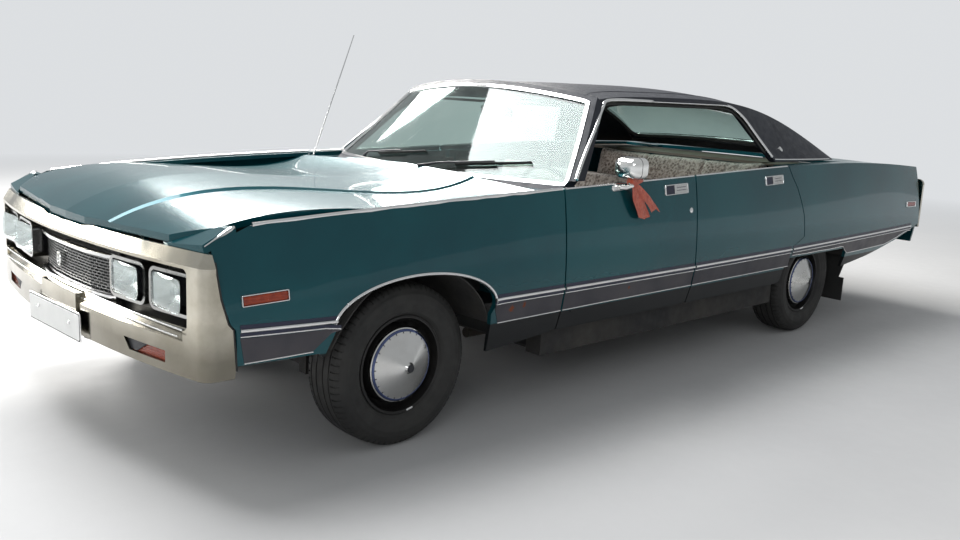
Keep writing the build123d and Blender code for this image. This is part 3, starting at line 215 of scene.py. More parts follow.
def facing(x, y, z, turn=pi / 2):
    """The place at which a lathed piece looks rearwards, or forwards with the opposite turn."""
    return Matrix.Translation(vec(x, y, z)) @ Matrix.Rotation(turn, 4, "Z")


def rod(name, points, radius, sides=12):
    """A round bar along a line of points. The radius is one number, or one for each point."""
    verts = []
    for index, point in enumerate(points):
        before = points[max(index - 1, 0)]
        after = points[min(index + 1, len(points) - 1)]
        along = (after - before).normalized()
        side = along.cross(Z) if abs(along.z) < 0.9 else along.cross(X)
        side.normalize()
        other = along.cross(side)
        size = radius[index] if isinstance(radius, (list, tuple)) else radius
        for step in range(sides):
            turn = 2 * pi * step / sides
            verts.append(point + side * (size * cos(turn)) + other * (size * sin(turn)))
    faces = grid_faces(len(points), sides, closed=True)
    faces += [tuple(range(sides)), tuple(range(len(verts) - sides, len(verts)))]
    return new_piece(name, verts, faces)


def soft_block(name, size, radius, steps=3):
    """A block about the origin with rounded edges."""
    work = bmesh.new()
    bmesh.ops.create_cube(work, size=1.0)
    bmesh.ops.scale(work, vec=Vector(size), verts=work.verts)
    bmesh.ops.bevel(work, geom=list(work.edges), offset=radius, segments=steps, profile=0.5,
                    affect="EDGES", clamp_overlap=True)
    mesh = bpy.data.meshes.new(name)
    work.to_mesh(mesh)
    work.free()
    return settle(bpy.data.objects.new(name, mesh), soft_crease)


def rounded_outline(width, height, radius, steps=5):
    """The points of a rounded rectangle about the origin, as (a, b) pairs."""
    points = []
    for corner_a, corner_b, start in ((1, 1, 0), (-1, 1, 1), (-1, -1, 2), (1, -1, 3)):
        for step in range(steps + 1):
            turn = pi / 2 * (start + step / steps)
            points.append((corner_a * (width / 2 - radius) + radius * cos(turn),
                           corner_b * (height / 2 - radius) + radius * sin(turn)))
    return points


def stacked(name, outlines, caps=(True, True)):
    """A shape through outlines of (x, y, z) points that all have as many points, closed at its ends or not."""
    verts = [point for outline in outlines for point in outline]
    width = len(outlines[0])
    faces = grid_faces(len(outlines), width, closed=True)
    ends = (tuple(range(width)), tuple(range(len(verts) - width, len(verts))))
    faces += [end for end, closed in zip(ends, caps) if closed]
    return new_piece(name, verts, faces)


def blocks(name, corners):
    """Many plain boxes, each between a low and a high corner, as one mesh."""
    verts, faces = [], []
    for low, high in corners:
        start = len(verts)
        verts += [(x, y, z) for x in (low[0], high[0]) for y in (low[1], high[1]) for z in (low[2], high[2])]
        for quad in ((0, 1, 3, 2), (4, 6, 7, 5), (0, 4, 5, 1), (2, 3, 7, 6), (0, 2, 6, 4), (1, 5, 7, 3)):
            faces.append([start + i for i in quad])
    return new_piece(name, verts, faces)


def moved(piece, matrix):
    """A piece with its mesh carried by a matrix."""
    piece.data.transform(matrix)
    return settle(piece)


def box_piece(name, low, high, radius):
    """A soft-edged block between two corners."""
    block = soft_block(name, Vector(high) - Vector(low), radius)
    return moved(block, Matrix.Translation((Vector(high) + Vector(low)) / 2))


def fitted(name, low, high, radius, finish):
    """A soft-edged block between two corners, dressed."""
    return dress(box_piece(name, low, high, radius), finish)


# Surfaces that trim is laid on

def surface(*names):
    """The CAD surfaces of the named nodes, to be met by rays."""
    verts, faces = [], []
    for name in names:
        mesh = nodes[name].data
        start = len(verts)
        verts += [v.co.copy() for v in mesh.vertices]
        faces += [[start + i for i in face.vertices] for face in mesh.polygons]
    return BVHTree.FromPolygons(verts, faces)


roof_surface = surface("roof")
roof_and_frame = surface("roof", "windshield_frame", "windshield")

side_panels = {name: surface(name + "_left") for name in ("front_fender", "door_front", "door_rear", "quarter")}
side_range = {
    "front_fender": (fender_low.x, fender_high.x), "door_front": (door_low.x, door_high.x),
    "door_rear": (rear_low.x, rear_high.x), "quarter": (quarter_low.x, quarter_high.x),
}
# The outer skin lies past this share of the half width, and outside is past this y
skin_share, outside_y = 0.86, -2
# A side point that meets a gap is looked for in steps towards the panel's middle
search_steps, search_step = 30, 0.004


def skin_hit(panel, x, z):
    """The point and outward direction where a ray from the left meets a side panel's outer skin, or None."""
    hit, out, _, _ = side_panels[panel].ray_cast(vec(x, outside_y, z), Y)
    return (hit, out) if hit is not None and hit.y < -half_width * skin_share else None


def side_point(panel, x, z):
    """The left side skin's point and outward direction at x and z."""
    middle = (side_range[panel][0] + side_range[panel][1]) / 2
    for step in range(search_steps):
        found = skin_hit(panel, x + (middle - x) * step * search_step, z)
        if found and found[1].y < -0.5:
            return vec(x, found[0].y, z), found[1]
    return vec(x, -half_width, z), -Y


def height_at(rows, x):
    """A height at x from (x, height) rows, by straight lines."""
    if x <= rows[0][0]:
        return rows[0][1]
    for (x0, z0), (x1, z1) in zip(rows, rows[1:]):
        if x <= x1:
            return z0 + (z1 - z0) * (x - x0) / (x1 - x0)
    return rows[-1][1]


def side_strip(name, panel, x0, x1, rows, profile, step=0.045):
    """A strip along one side panel, at the heights of the rows."""
    count = max(2, ceil((x1 - x0) / step))
    spine = []
    for index in range(count + 1):
        x = x0 + (x1 - x0) * index / count
        spine.append(side_point(panel, x, height_at(rows, x)))
    return swept(name, spine, profile)


def side_frame(panel, x, z, lean=0.0):
    """A place on the left side: local x runs rearwards, y outwards and z up. It leans along the car."""
    point, out = side_point(panel, x, z)
    along = (X - out * out.x).normalized()
    up = along.cross(out).normalized()
    if up.z < 0:
        up = -up
    turned = along * cos(lean) + up * sin(lean)
    up = up * cos(lean) - along * sin(lean)
    matrix = Matrix((turned, out, up)).transposed().to_4x4()
    matrix.translation = point
    return matrix


# Finishes

class Finish:
    """A node material round one shader. Its textures use the car's own coordinates."""

    labels = {"colour": "Base Color", "metal": "Metallic", "rough": "Roughness", "coat": "Coat Weight",
              "coat_rough": "Coat Roughness", "ior": "IOR", "sheen": "Sheen Weight",
              "sheen_rough": "Sheen Roughness", "specular": "Specular IOR Level"}

    def __init__(self, name, **values):
        self.material = bpy.data.materials.new(name)
        self.material.use_nodes = True
        self.tree = self.material.node_tree
        self.shader = self.tree.nodes["Principled BSDF"]
        for key, value in values.items():
            self.shader.inputs[self.labels[key]].default_value = value
        self.place = self.node("TexCoord").outputs["Object"]

    def node(self, kind, **settings):
        """A new node with its settings and its input values or links."""
        node = self.tree.nodes.new("ShaderNode" + kind)
        for key, value in settings.items():
            if key.startswith("in_"):
                socket = node.inputs[int(key[3:])]
                if isinstance(value, bpy.types.NodeSocket):
                    self.tree.links.new(value, socket)
                else:
                    socket.default_value = value
            else:
                setattr(node, key, value)
        return node

    def scaled(self, x, y, z):
        """The coordinates stretched along each axis."""
        node = self.node("Mapping", in_0=self.place)
        node.inputs["Scale"].default_value = (x, y, z)
        return node.outputs[0]

    def texture(self, kind, output, place=None, **inputs):
        """One texture's output, on the car's coordinates or on the given ones."""
        node = self.node("Tex" + kind)
        self.tree.links.new(place or self.place, node.inputs["Vector"])
        for key, value in inputs.items():
            node.inputs[key].default_value = value
        return node.outputs[output]

    def noise(self, scale, detail=3.0, rough=0.55, place=None):
        """Cloudy noise from 0 to 1."""
        return self.texture("Noise", "Fac", place, Scale=scale, Detail=detail, Roughness=rough)

    def cells(self, scale):
        """Distance to the nearest of many scattered cells."""
        return self.texture("Voronoi", "Distance", Scale=scale)

    def waves(self, scale, direction):
        """Straight bands across one axis."""
        waves = self.texture("Wave", "Fac", Scale=scale)
        waves.node.bands_direction = direction
        return waves

    def spread(self, value, low, high, to_low=0.0, to_high=1.0):
        """A value mapped from one range to another, held at its ends."""
        return self.node("MapRange", in_0=value, in_1=low, in_2=high, in_3=to_low, in_4=to_high).outputs[0]

    def sum(self, one, two, how="ADD"):
        """Two values put together."""
        return self.node("Math", operation=how, in_0=one, in_1=two).outputs[0]

    def times(self, one, two):
        """One value times another."""
        return self.sum(one, two, "MULTIPLY")

    def axis(self, name):
        """One of the coordinates."""
        return self.node("SeparateXYZ", in_0=self.place).outputs[name]

    def mix(self, share, one, two):
        """A colour between two, by share."""
        one, two = ((*value, 1) if isinstance(value, tuple) else value for value in (one, two))
        return self.node("Mix", data_type="RGBA", in_0=share, in_6=one, in_7=two).outputs[2]

    def bump(self, height, strength, depth):
        """Surface relief from a height."""
        node = self.node("Bump")
        node.inputs["Strength"].default_value = strength
        node.inputs["Distance"].default_value = depth
        self.tree.links.new(height, node.inputs["Height"])
        self.tree.links.new(node.outputs[0], self.shader.inputs["Normal"])

    def set(self, key, value):
        """Link a value to one of the shader's inputs."""
        self.tree.links.new(value, self.shader.inputs[self.labels[key]])

    def show(self, share, one, two):
        """Make the material's surface from two shaders, by share."""
        mix = self.node("MixShader", in_0=share, in_1=one, in_2=two)
        self.tree.links.new(mix.outputs[0], self.tree.nodes["Material Output"].inputs[0])


# Heights between which the paint turns to near-black painted shade below the band, and the bumper's painted dark
# reflection of the ground fades out
painted_shade_heights = (0.452, 0.457)
low_shade_fade = (0.51, 0.64)


def paint_finish(name, deep, light, dust):
    """Metallic paint with its flake, slight orange peel, road dust low down, and painted shade that turns it
    near-black below the band.
    """
    f = Finish(name, coat=0.55, coat_rough=0.03, ior=1.4, specular=0.2)
    flake = f.spread(f.cells(1400), 0.1, 0.6)
    cloud = f.spread(f.noise(1.6, 4), 0.35, 0.65)
    colour = f.mix(f.sum(f.times(flake, 0.4), f.times(cloud, 0.6)), deep, light)
    low = f.spread(f.axis("Z"), 0.25, 0.75, 0.3, 0.03)
    film = f.times(low, f.spread(f.noise(3, 3), 0.1, 0.9))
    # Painted shade: below the band the paint turns near-black, loses its metal and grows rougher
    shade = f.spread(f.sum(f.axis("Z"), f.times(f.noise(30, 2), 0.006)), *painted_shade_heights, 1.0, 0.0)
    f.set("colour", f.mix(shade, f.mix(film, colour, dust), (0.005, 0.006, 0.007)))
    f.set("metal", f.spread(shade, 0.0, 1.0, 0.45, 0.0))
    f.set("rough", f.sum(f.spread(film, 0.0, 0.5, 0.24, 0.5), f.times(shade, 0.35)))
    f.bump(f.noise(260, 2), 0.05, 0.0008)
    return f.material


def chrome_finish(name, colour, dull, rough, streak=0.5, low_shade=0.0):
    """Plated steel with cloudy wear, fine scratches, a little pitting, and a painted dark reflection of the ground
    on its low parts.
    """
    f = Finish(name, metal=1.0, ior=2.0)
    wear = f.spread(f.noise(5, 6, 0.6), 0.38, 0.66)
    pits = f.spread(f.cells(260), 0.0, 0.12, 1.0, 0.0)
    speck = f.times(pits, f.spread(f.noise(14, 3), 0.5, 0.62))
    base = f.mix(f.times(wear, streak), colour, dull)
    if low_shade:
        # Painted dark reflection of the ground: the chrome darkens towards the bottom
        low = f.spread(f.sum(f.axis("Z"), f.times(f.noise(7, 4), 0.06)), *low_shade_fade, low_shade, 0.0)
        base = f.mix(low, base, tuple(0.3 * part for part in dull))
    f.set("colour", f.mix(f.times(speck, 0.5), base, (0.2, 0.13, 0.08)))
    f.set("rough", f.spread(f.sum(wear, speck), 0.0, 1.4, rough, rough + 0.2))
    f.bump(f.noise(120, 3, place=f.scaled(1, 1, 6)), 0.04, 0.0005)
    return f.material


def grain_finish(name, dark, light, rough, scale, relief, sheen=0.0, metal=0.0, specular=0.5):
    """A grained surface: vinyl, rubber, moulded plastic or cast metal."""
    f = Finish(name, metal=metal, sheen=sheen, specular=specular)
    grain = f.cells(scale)
    f.set("colour", f.mix(f.spread(f.noise(4, 5), 0.35, 0.68), dark, light))
    f.set("rough", f.spread(f.noise(22, 4), 0.3, 0.7, rough - 0.08, rough + 0.1))
    f.bump(f.sum(grain, f.times(f.noise(scale / 3, 3), 0.5)), relief, 0.0012)
    return f.material


def glass_finish(name, tint, dirt, clear, rough=0.015):
    """Thin window glass: a tinted clear layer, with reflections that grow at grazing angles and dust."""
    f = Finish(name, metal=1.0, ior=1.5)
    f.set("colour", f.mix(f.noise(30, 3), (0.86, 0.92, 0.93), (0.93, 0.96, 0.96)))
    f.set("rough", f.spread(f.noise(9, 4), 0.3, 0.7, rough, rough + 0.045))
    through = f.node("BsdfTransparent", in_0=(*tint, 1)).outputs[0]
    facing_away = f.node("LayerWeight", in_0=0.5).outputs["Facing"]
    share = f.spread(f.sum(facing_away, 4.0, "POWER"), 0.0, 1.0, 1 - clear, 1.0)
    clean = f.node("MixShader", in_0=share, in_1=through, in_2=f.shader.outputs[0]).outputs[0]
    dust = f.node("BsdfDiffuse", in_0=(0.45, 0.46, 0.44, 1)).outputs[0]
    f.show(f.spread(f.noise(6, 5), 0.4, 0.75, dirt * 0.2, dirt), clean, dust)
    return f.material


def lens_finish(name, deep, light, rough):
    """A ribbed plastic or glass lens over a bright back."""
    f = Finish(name, ior=1.5, coat=0.4, coat_rough=0.05, specular=0.3)
    f.set("colour", f.mix(f.times(f.spread(f.noise(40, 3), 0.3, 0.7), 0.5), deep, light))
    f.set("rough", f.spread(f.noise(20, 3), 0.3, 0.7, rough, rough + 0.12))
    f.bump(f.waves(34, "Z"), 0.5, 0.002)
    return f.material


def band_paint(name, deep, light, rust_spots):
    """The satin grey paint of the lower band, with ragged rust spots, each a place and a size."""
    f = Finish(name, metal=0.55, specular=0.4)
    colour = f.mix(f.spread(f.noise(5, 5), 0.35, 0.68), deep, light)
    for spot, size in rust_spots:
        gap = f.node("VectorMath", operation="DISTANCE", in_0=f.place, in_1=spot).outputs["Value"]
        ragged = f.sum(gap, f.times(f.noise(90, 4), size * 1.4))
        colour = f.mix(f.spread(ragged, size * 1.1, size * 1.5, 1.0, 0.0), colour, (0.19, 0.05, 0.018))
    f.set("colour", colour)
    f.set("rough", f.spread(f.noise(20, 4), 0.3, 0.7, 0.33, 0.5))
    f.bump(f.sum(f.cells(600), f.noise(200, 3)), 0.1, 0.0008)
    return f.material


def cloth_finish(name, dark, light, thread):
    """Shiny woven seat cloth with a scattered leafy ground pattern."""
    f = Finish(name, sheen=0.4, sheen_rough=0.4, specular=0.4)
    leaf = f.spread(f.sum(f.noise(75, 5, 0.65), f.times(f.cells(52), 0.35)), 0.52, 0.78)
    weave = f.times(f.waves(320, "X"), f.waves(320, "Z"))
    f.set("colour", f.mix(leaf, f.mix(f.noise(18, 4), dark, light), thread))
    f.set("rough", f.spread(leaf, 0.0, 1.0, 0.58, 0.34))
    f.bump(f.sum(weave, leaf), 0.6, 0.0016)
    return f.material


# Rust spots on the left side's band: place and size
band_rust = (((-1.43, -1.0, 0.505), 0.022), ((-1.36, -1.0, 0.512), 0.018), ((-0.66, -1.0, 0.508), 0.013))
paint = paint_finish("paint_teal", (0.001, 0.044, 0.060), (0.003, 0.085, 0.100), (0.040, 0.052, 0.050))
band_finish = band_paint("band_grey", (0.050, 0.050, 0.060), (0.085, 0.080, 0.088), band_rust)
line_blue = grain_finish("line_dark_blue", (0.008, 0.01, 0.03), (0.012, 0.016, 0.045), 0.35, 600, 0.1)
vinyl = grain_finish("vinyl_slate", (0.008, 0.010, 0.017), (0.014, 0.017, 0.026), 0.44, 420, 0.35, specular=0.3)
# The bumper's last figure darkens its low parts as a painted dark reflection of the ground
bumper_chrome = chrome_finish("chrome_bumper", (0.60, 0.57, 0.49), (0.36, 0.33, 0.26), 0.10, 0.75, 0.8)
bright = chrome_finish("chrome_trim", (0.82, 0.82, 0.82), (0.64, 0.64, 0.62), 0.09, 0.4)
grille_metal = chrome_finish("chrome_grille", (0.20, 0.20, 0.20), (0.09, 0.09, 0.09), 0.26, 0.6)
bowl_metal = chrome_finish("lamp_bowl", (0.70, 0.72, 0.70), (0.42, 0.43, 0.41), 0.2, 0.8)
reflector = chrome_finish("reflector_bright", (0.92, 0.92, 0.90), (0.80, 0.80, 0.77), 0.10, 0.3)
cap_steel = chrome_finish("cap_steel", (0.70, 0.70, 0.69), (0.50, 0.49, 0.46), 0.16, 0.6)
# The dark blue metal of the hubcap ring is a painted dark reflection
cap_blue = chrome_finish("cap_ring_blue", (0.10, 0.13, 0.26), (0.06, 0.07, 0.13), 0.2, 0.5)
dark_panel = grain_finish("dark_panel", (0.008, 0.009, 0.014), (0.016, 0.017, 0.024), 0.5, 500, 0.2)
rubber = grain_finish("rubber_black", (0.010, 0.010, 0.010), (0.020, 0.020, 0.019), 0.62, 600, 0.2)
tyre_rubber = grain_finish("tyre_black", (0.012, 0.012, 0.012), (0.026, 0.025, 0.023), 0.7, 380, 0.25)
rim_black = grain_finish("rim_black", (0.008, 0.008, 0.009), (0.018, 0.017, 0.016), 0.36, 500, 0.12, metal=0.3)
under_black = grain_finish("under_black", (0.012, 0.012, 0.013), (0.035, 0.032, 0.028), 0.75, 200, 0.4)
cast_iron = grain_finish("cast_iron", (0.03, 0.028, 0.026), (0.07, 0.058, 0.045), 0.72, 260, 0.5, metal=0.6)
glass = glass_finish("window_glass", (0.62, 0.72, 0.69), 0.04, 0.965, 0.03)
lens_clear = glass_finish("lens_clear", (0.95, 0.97, 0.97), 0.05, 0.94)
bezel_metal = chrome_finish("chrome_bezel", (0.42, 0.42, 0.41), (0.25, 0.25, 0.24), 0.16, 0.6)
lens_red = lens_finish("lens_red", (0.16, 0.004, 0.004), (0.42, 0.012, 0.010), 0.14)
lens_amber = lens_finish("lens_amber", (0.20, 0.020, 0.004), (0.46, 0.060, 0.010), 0.16)
seat_cloth = cloth_finish("seat_cloth", (0.055, 0.030, 0.022), (0.11, 0.072, 0.055), (0.44, 0.38, 0.33))
seat_vinyl = grain_finish("seat_vinyl", (0.07, 0.055, 0.04), (0.11, 0.09, 0.065), 0.45, 300, 0.3)
dash_plastic = grain_finish("dash_plastic", (0.010, 0.022, 0.022), (0.018, 0.034, 0.033), 0.5, 420, 0.3)
plate_white = grain_finish("plate_white", (0.62, 0.63, 0.62), (0.74, 0.74, 0.73), 0.42, 300, 0.08)
ribbon_cloth = cloth_finish("ribbon_cloth", (0.42, 0.045, 0.020), (0.55, 0.075, 0.030), (0.62, 0.12, 0.06))
headliner = grain_finish("headliner_dark", (0.012, 0.014, 0.016), (0.024, 0.026, 0.028), 0.85, 300, 0.4,
                         sheen=0.3)
card_vinyl = grain_finish("card_vinyl", (0.016, 0.028, 0.030), (0.026, 0.042, 0.044), 0.5, 360, 0.3)
wood_strip = grain_finish("wood_strip", (0.07, 0.03, 0.012), (0.13, 0.06, 0.025), 0.35, 90, 0.1)

cad_finishes = {
    "body_paint": paint, "roof_vinyl": vinyl, "under_paint": under_black, "bumper_chrome": bumper_chrome,
    "bright_trim": bright, "grille_metal": grille_metal, "dark_panel": dark_panel, "lamp_glass": lens_clear,
    "tail_glass": lens_red, "amber_glass": lens_amber, "window_glass": glass, "tyre": tyre_rubber,
    "rubber": rubber, "rim_steel": rim_black, "cast_parts": cast_iron, "seat_cloth": seat_cloth,
    "dash_plastic": dash_plastic, "ribbon_cloth": ribbon_cloth,
}
# The record slot of each finish that the pieces here are given
slot_finishes = {
    "bright_trim": (bright, reflector, cap_steel, cap_blue, plate_white, bowl_metal),
    "grille_metal": (grille_metal, bezel_metal, band_finish), "dark_panel": (dark_panel, line_blue),
    "roof_vinyl": (vinyl,), "rubber": (rubber,), "tyre": (tyre_rubber,), "rim_steel": (rim_black,),
    "under_paint": (under_black,), "cast_parts": (cast_iron,), "lamp_glass": (lens_clear,),
    "tail_glass": (lens_red,), "amber_glass": (lens_amber,), "seat_cloth": (seat_cloth, seat_vinyl),
    "ribbon_cloth": (ribbon_cloth,), "dash_plastic": (headliner, card_vinyl, wood_strip),
}
finish_slots = {finish.name: slot for slot, finishes in slot_finishes.items() for finish in finishes}
# Nodes whose finish isn't the one of their material slot
own_finishes = {"windshield_frame": vinyl, "parcel_shelf": seat_vinyl, "cowl": paint, "lamp_bezels": bezel_metal}
own_finishes.update({"hubcap_" + end + side: cap_steel
                     for end in ("front", "rear") for side in ("_left", "_right")})
for row in frame["record"]["subparts"]:
    coat(nodes[row["node"]], own_finishes.get(row["node"], cad_finishes[row["material_slot"]]))


# Camera, lamps and floor

camera_place = vec(-4.0793, -3.5152, 1.3713)
camera_yaw, camera_pitch, camera_roll = radians(44.268), radians(11.057), radians(-3.043)
camera_lens, camera_sensor = 34.783, 36.0
backdrop_colour, sky_colour = (0.72, 0.74, 0.76), (0.95, 0.98, 1.0)
# The floor's height, and the distances between which it fades into the backdrop
floor_drop, floor_fade = -0.0005, (4.5, 12.0)


def make_camera():
    """The photograph's viewpoint: its heading from +Y towards +X, its downward pitch and its roll."""
    ahead = vec(sin(camera_yaw) * cos(camera_pitch), cos(camera_yaw) * cos(camera_pitch), -sin(camera_pitch))
    right = vec(cos(camera_yaw), -sin(camera_yaw), 0)
    down = ahead.cross(right)
    side = right * cos(camera_roll) + down * sin(camera_roll)
    low = down * cos(camera_roll) - right * sin(camera_roll)
    camera = bpy.data.objects.new("camera", bpy.data.cameras.new("camera"))
    scene.collection.objects.link(camera)
    camera.data.lens = camera_lens
    camera.data.sensor_width = camera_sensor
    camera.data.clip_end = 200
    camera.matrix_world = Matrix.Translation(camera_place) @ Matrix((side, -low, -ahead)).transposed().to_4x4()
    scene.camera = camera


def make_lamp(name, place, aim, size, power, colour=(1, 1, 1)):
    """One soft rectangular lamp."""
    data = bpy.data.lights.new(name, "AREA")
    data.shape = "RECTANGLE"
    data.size, data.size_y = size
    data.energy = power
    data.color = colour
    lamp = bpy.data.objects.new(name, data)
    scene.collection.objects.link(lamp)
    lamp.location = place
    lamp.rotation_euler = (Vector(place) - Vector(aim)).to_track_quat("Z", "Y").to_euler()
    lamp.visible_camera = False


def make_world(backdrop, light_power):
    """A pale backdrop for the camera and through glass, and an even softer light on everything else."""
    world = bpy.data.worlds.new("studio")
    scene.world = world
    world.use_nodes = True
    tree = world.node_tree
    tree.nodes.clear()
    path, seen, shown, light, mix, out = [tree.nodes.new("ShaderNode" + kind) for kind in (
        "LightPath", "Math", "Background", "Background", "MixShader", "OutputWorld")]
    seen.operation = "MAXIMUM"
    for node, colour, power in ((shown, backdrop, 1.0), (light, sky_colour, light_power)):
        node.inputs[0].default_value = (*colour, 1)
        node.inputs[1].default_value = power
    for end, start in ((seen.inputs[0], path.outputs["Is Camera Ray"]),
                       (seen.inputs[1], path.outputs["Is Transmission Ray"]), (mix.inputs[0], seen.outputs[0]),
                       (mix.inputs[1], light.outputs[0]), (mix.inputs[2], shown.outputs[0]),
                       (out.inputs[0], mix.outputs[0])):
        tree.links.new(start, end)


def make_floor(backdrop):
    """A pale floor that fades into the backdrop with distance from the car."""
    rings = (4.0, 8.0, 12.0, 18.0, 30.0, 60.0, 120.0)
    steps = 64
    verts = [vec(r * cos(2 * pi * s / steps), r * sin(2 * pi * s / steps), floor_drop)
             for r in rings for s in range(steps)]
    faces = grid_faces(len(rings), steps, closed=True) + [tuple(range(steps))]
    floor = new_piece("floor", verts, faces)
    f = Finish("floor_pale", specular=0.3)
    f.set("colour", f.mix(f.noise(0.8, 6), (0.46, 0.46, 0.465), (0.54, 0.54, 0.54)))
    f.set("rough", f.spread(f.noise(12, 4), 0.3, 0.7, 0.55, 0.75))
    f.bump(f.noise(60, 5), 0.15, 0.002)
    far = f.node("VectorMath", operation="LENGTH", in_0=f.place).outputs["Value"]
    glow = f.node("Emission", in_0=(*backdrop, 1), in_1=1.0)
    f.show(f.spread(far, *floor_fade), f.shader.outputs[0], glow.outputs[0])
    floor.data.materials.append(f.material)


make_camera()
make_world(backdrop_colour, 0.45)
make_floor(backdrop_colour)
make_lamp("key", (2.5, 7.0, 6.0), (-0.6, 0, 0.8), (5.0, 3.0), 1300, (1.0, 0.98, 0.94))
make_lamp("top", (-2.4, 2.0, 6.5), (-1.4, 0, 0), (5.0, 3.0), 620)
make_lamp("edge", (-5.2, 7.0, 2.9), (-2.6, -0.2, 0.8), (3.6, 1.8), 420, (1.0, 0.99, 0.96))
make_lamp("fill", (-7.5, -5.5, 3.4), (-1.2, -0.6, 0.6), (3.0, 2.0), 90, (0.95, 0.98, 1.0))
scene.view_settings.view_transform = "Standard"


# Trim helpers

def welded(name):
    """A node's mesh with its doubled points welded, to be walked along and freed."""
    work = bmesh.new()
    work.from_mesh(nodes[name].data)
    bmesh.ops.remove_doubles(work, verts=work.verts, dist=1e-5)
    return work


def face_rim(name, direction, lean=0.5):
    """The rim of a node's faces that look in a direction, as a ring of points."""
    work = welded(name)
    work.normal_update()
    faces = [face for face in work.faces if face.normal.dot(direction) > lean]
    chosen = set(faces)
    after = {}
    for face in faces:
        for loop in face.loops:
            others = [f for f in loop.edge.link_faces if f in chosen]
            if len(others) == 1:
                after[loop.vert] = loop.link_loop_next.vert
    rings = []
    while after:
        start = next(iter(after))
        ring = [start]
        following = after.pop(start)
        while following in after:
            ring.append(following)
            following = after.pop(following)
        rings.append([v.co.copy() for v in ring])
    work.free()
    return max(rings, key=lambda ring: sum((a - b).length for a, b in zip(ring, ring[1:])))


def even_ring(points, step):
    """A closed ring of points at even distances."""
    ring = points + [points[0]]
    total = sum((b - a).length for a, b in zip(ring, ring[1:]))
    count = max(8, round(total / step))
    placed, walked, index = [], 0.0, 0
    for number in range(count):
        aim = total * number / count
        while walked + (ring[index + 1] - ring[index]).length < aim:
            walked += (ring[index + 1] - ring[index]).length
            index += 1
        part = (ring[index + 1] - ring[index]).length
        placed.append(ring[index].lerp(ring[index + 1], (aim - walked) / max(part, 1e-9)))
    return placed


def even_line(points, step):
    """An open line of points at even distances."""
    placed = [points[0]]
    for a, b in zip(points, points[1:]):
        count = max(1, ceil((b - a).length / step))
        placed += [a.lerp(b, k / count) for k in range(1, count + 1)]
    return placed


def eased(points, rounds):
    """A line of points with its corners eased."""
    for _ in range(rounds):
        inner = [(a + b * 2 + c) / 4 for a, b, c in zip(points, points[1:], points[2:])]
        points = [points[0]] + inner + [points[-1]]
    return points


def snapped(tree, points, reach, out):
    """Points moved onto the nearest surface within reach, with one outward direction."""
    spine = []
    for point in points:
        hit, _, _, gap = tree.find_nearest(point)
        spine.append((hit if hit is not None and gap < reach else point, out))
    return spine


def laid(tree, points, direction, reach):
    """Points carried along a direction onto a surface, with the surface's outward direction."""
    spine = []
    for point in points:
        hit, out, _, _ = tree.ray_cast(point - direction * reach, direction, 2 * reach)
        if hit is not None:
            spine.append((hit, out if out.dot(direction) < 0 else -out))
    return spine


# Body side trim

# Heights along the car, as rows of (x, height): the lower moulding, and the foot of the band under it
moulding_rows = ((-2.653, 0.572), (-2.245, 0.560), (-1.569, 0.551), (-0.141, 0.553), (0.391, 0.557),
                 (0.804, 0.560), (1.572, 0.568), (2.78, 0.577))
band_foot_rows = ((-2.666, 0.459), (-2.307, 0.466), (-1.507, 0.452), (-0.85, 0.458), (0.809, 0.464),
                  (2.78, 0.49))


def reach_back(panel, x, z):
    """The rearmost x, up to the given one, where the left side panel is met at height z."""
    while x > side_range[panel][0]:
        if skin_hit(panel, x, z):
            return x - 0.006
        x -= 0.01
    return x


# Where the front wheel opening and the rear door's foot end the trim
arch_front_x = front_axle.x - 0.372
arch_rear_x = front_axle.x + 0.371
rear_door_foot_x = 0.844
# How far trim stays from a panel's edge
edge_gap = 0.002
door_spans = {"door_front": (door_low.x + edge_gap, door_high.x - edge_gap),
              "door_rear": (rear_low.x + edge_gap, 0.79)}
# The panels' stretches of moulding: panel, tag, x0, x1
panel_spans = (
    ("front_fender", "a", nose + 0.224, arch_front_x),
    ("front_fender", "b", arch_rear_x, fender_high.x - edge_gap),
    ("door_front", "c", *door_spans["door_front"]),
    ("door_rear", "d", rear_low.x + edge_gap, rear_door_foot_x - 0.004),
    ("quarter", "e", rear_door_foot_x + 0.014, reach_back("quarter", quarter_high.x - 0.01, 0.555)),
)
panel_bodies = {"front_fender": "body", "quarter": "body", "door_front": "door_front", "door_rear": "door_rear"}
# The band's foot is raised where the panel ends above it, by steps, and no further than under the moulding
foot_limit, foot_step, foot_margin, foot_places = 0.546, 0.004, 0.010, 24


def foot_rows(panel, x0, x1):
    """The band foot's heights along one panel, raised where the panel's own foot rises."""
    rows = []
    for index in range(foot_places + 1):
        x = x0 + (x1 - x0) * index / foot_places
        z = height_at(band_foot_rows, x)
        while z < foot_limit and not skin_hit(panel, x, z - foot_margin):
            z += foot_step
        rows.append((x, z))
    return rows


def shifted(rows, lift):
    """Rows of (x, height) raised by lift."""
    return [(x, z + lift) for x, z in rows]


def side_patch(name, panel, ends, low_rows, high_rows, lift):
    """A thin patch on a side panel. ends gives x0 and x1 for a share of its height from 0 to 1."""
    rows, columns = 5, 30
    front, back = [], []
    for row in range(rows + 1):
        share = row / rows
        x0, x1 = ends(share)
        for column in range(columns + 1):
            x = x0 + (x1 - x0) * column / columns
            z = height_at(low_rows, x) * (1 - share) + height_at(high_rows, x) * share
            point, out = side_point(panel, x, z)
            front.append(point + out * lift)
            back.append(point - out * sunk)
    return new_piece(name, front + back, sheet_faces(rows, columns))


# How far the band's ends lean, foot from top, where they meet the wheel openings
band_lean = {"a": (0.02, -0.085), "b": (0.03, 0.0)}


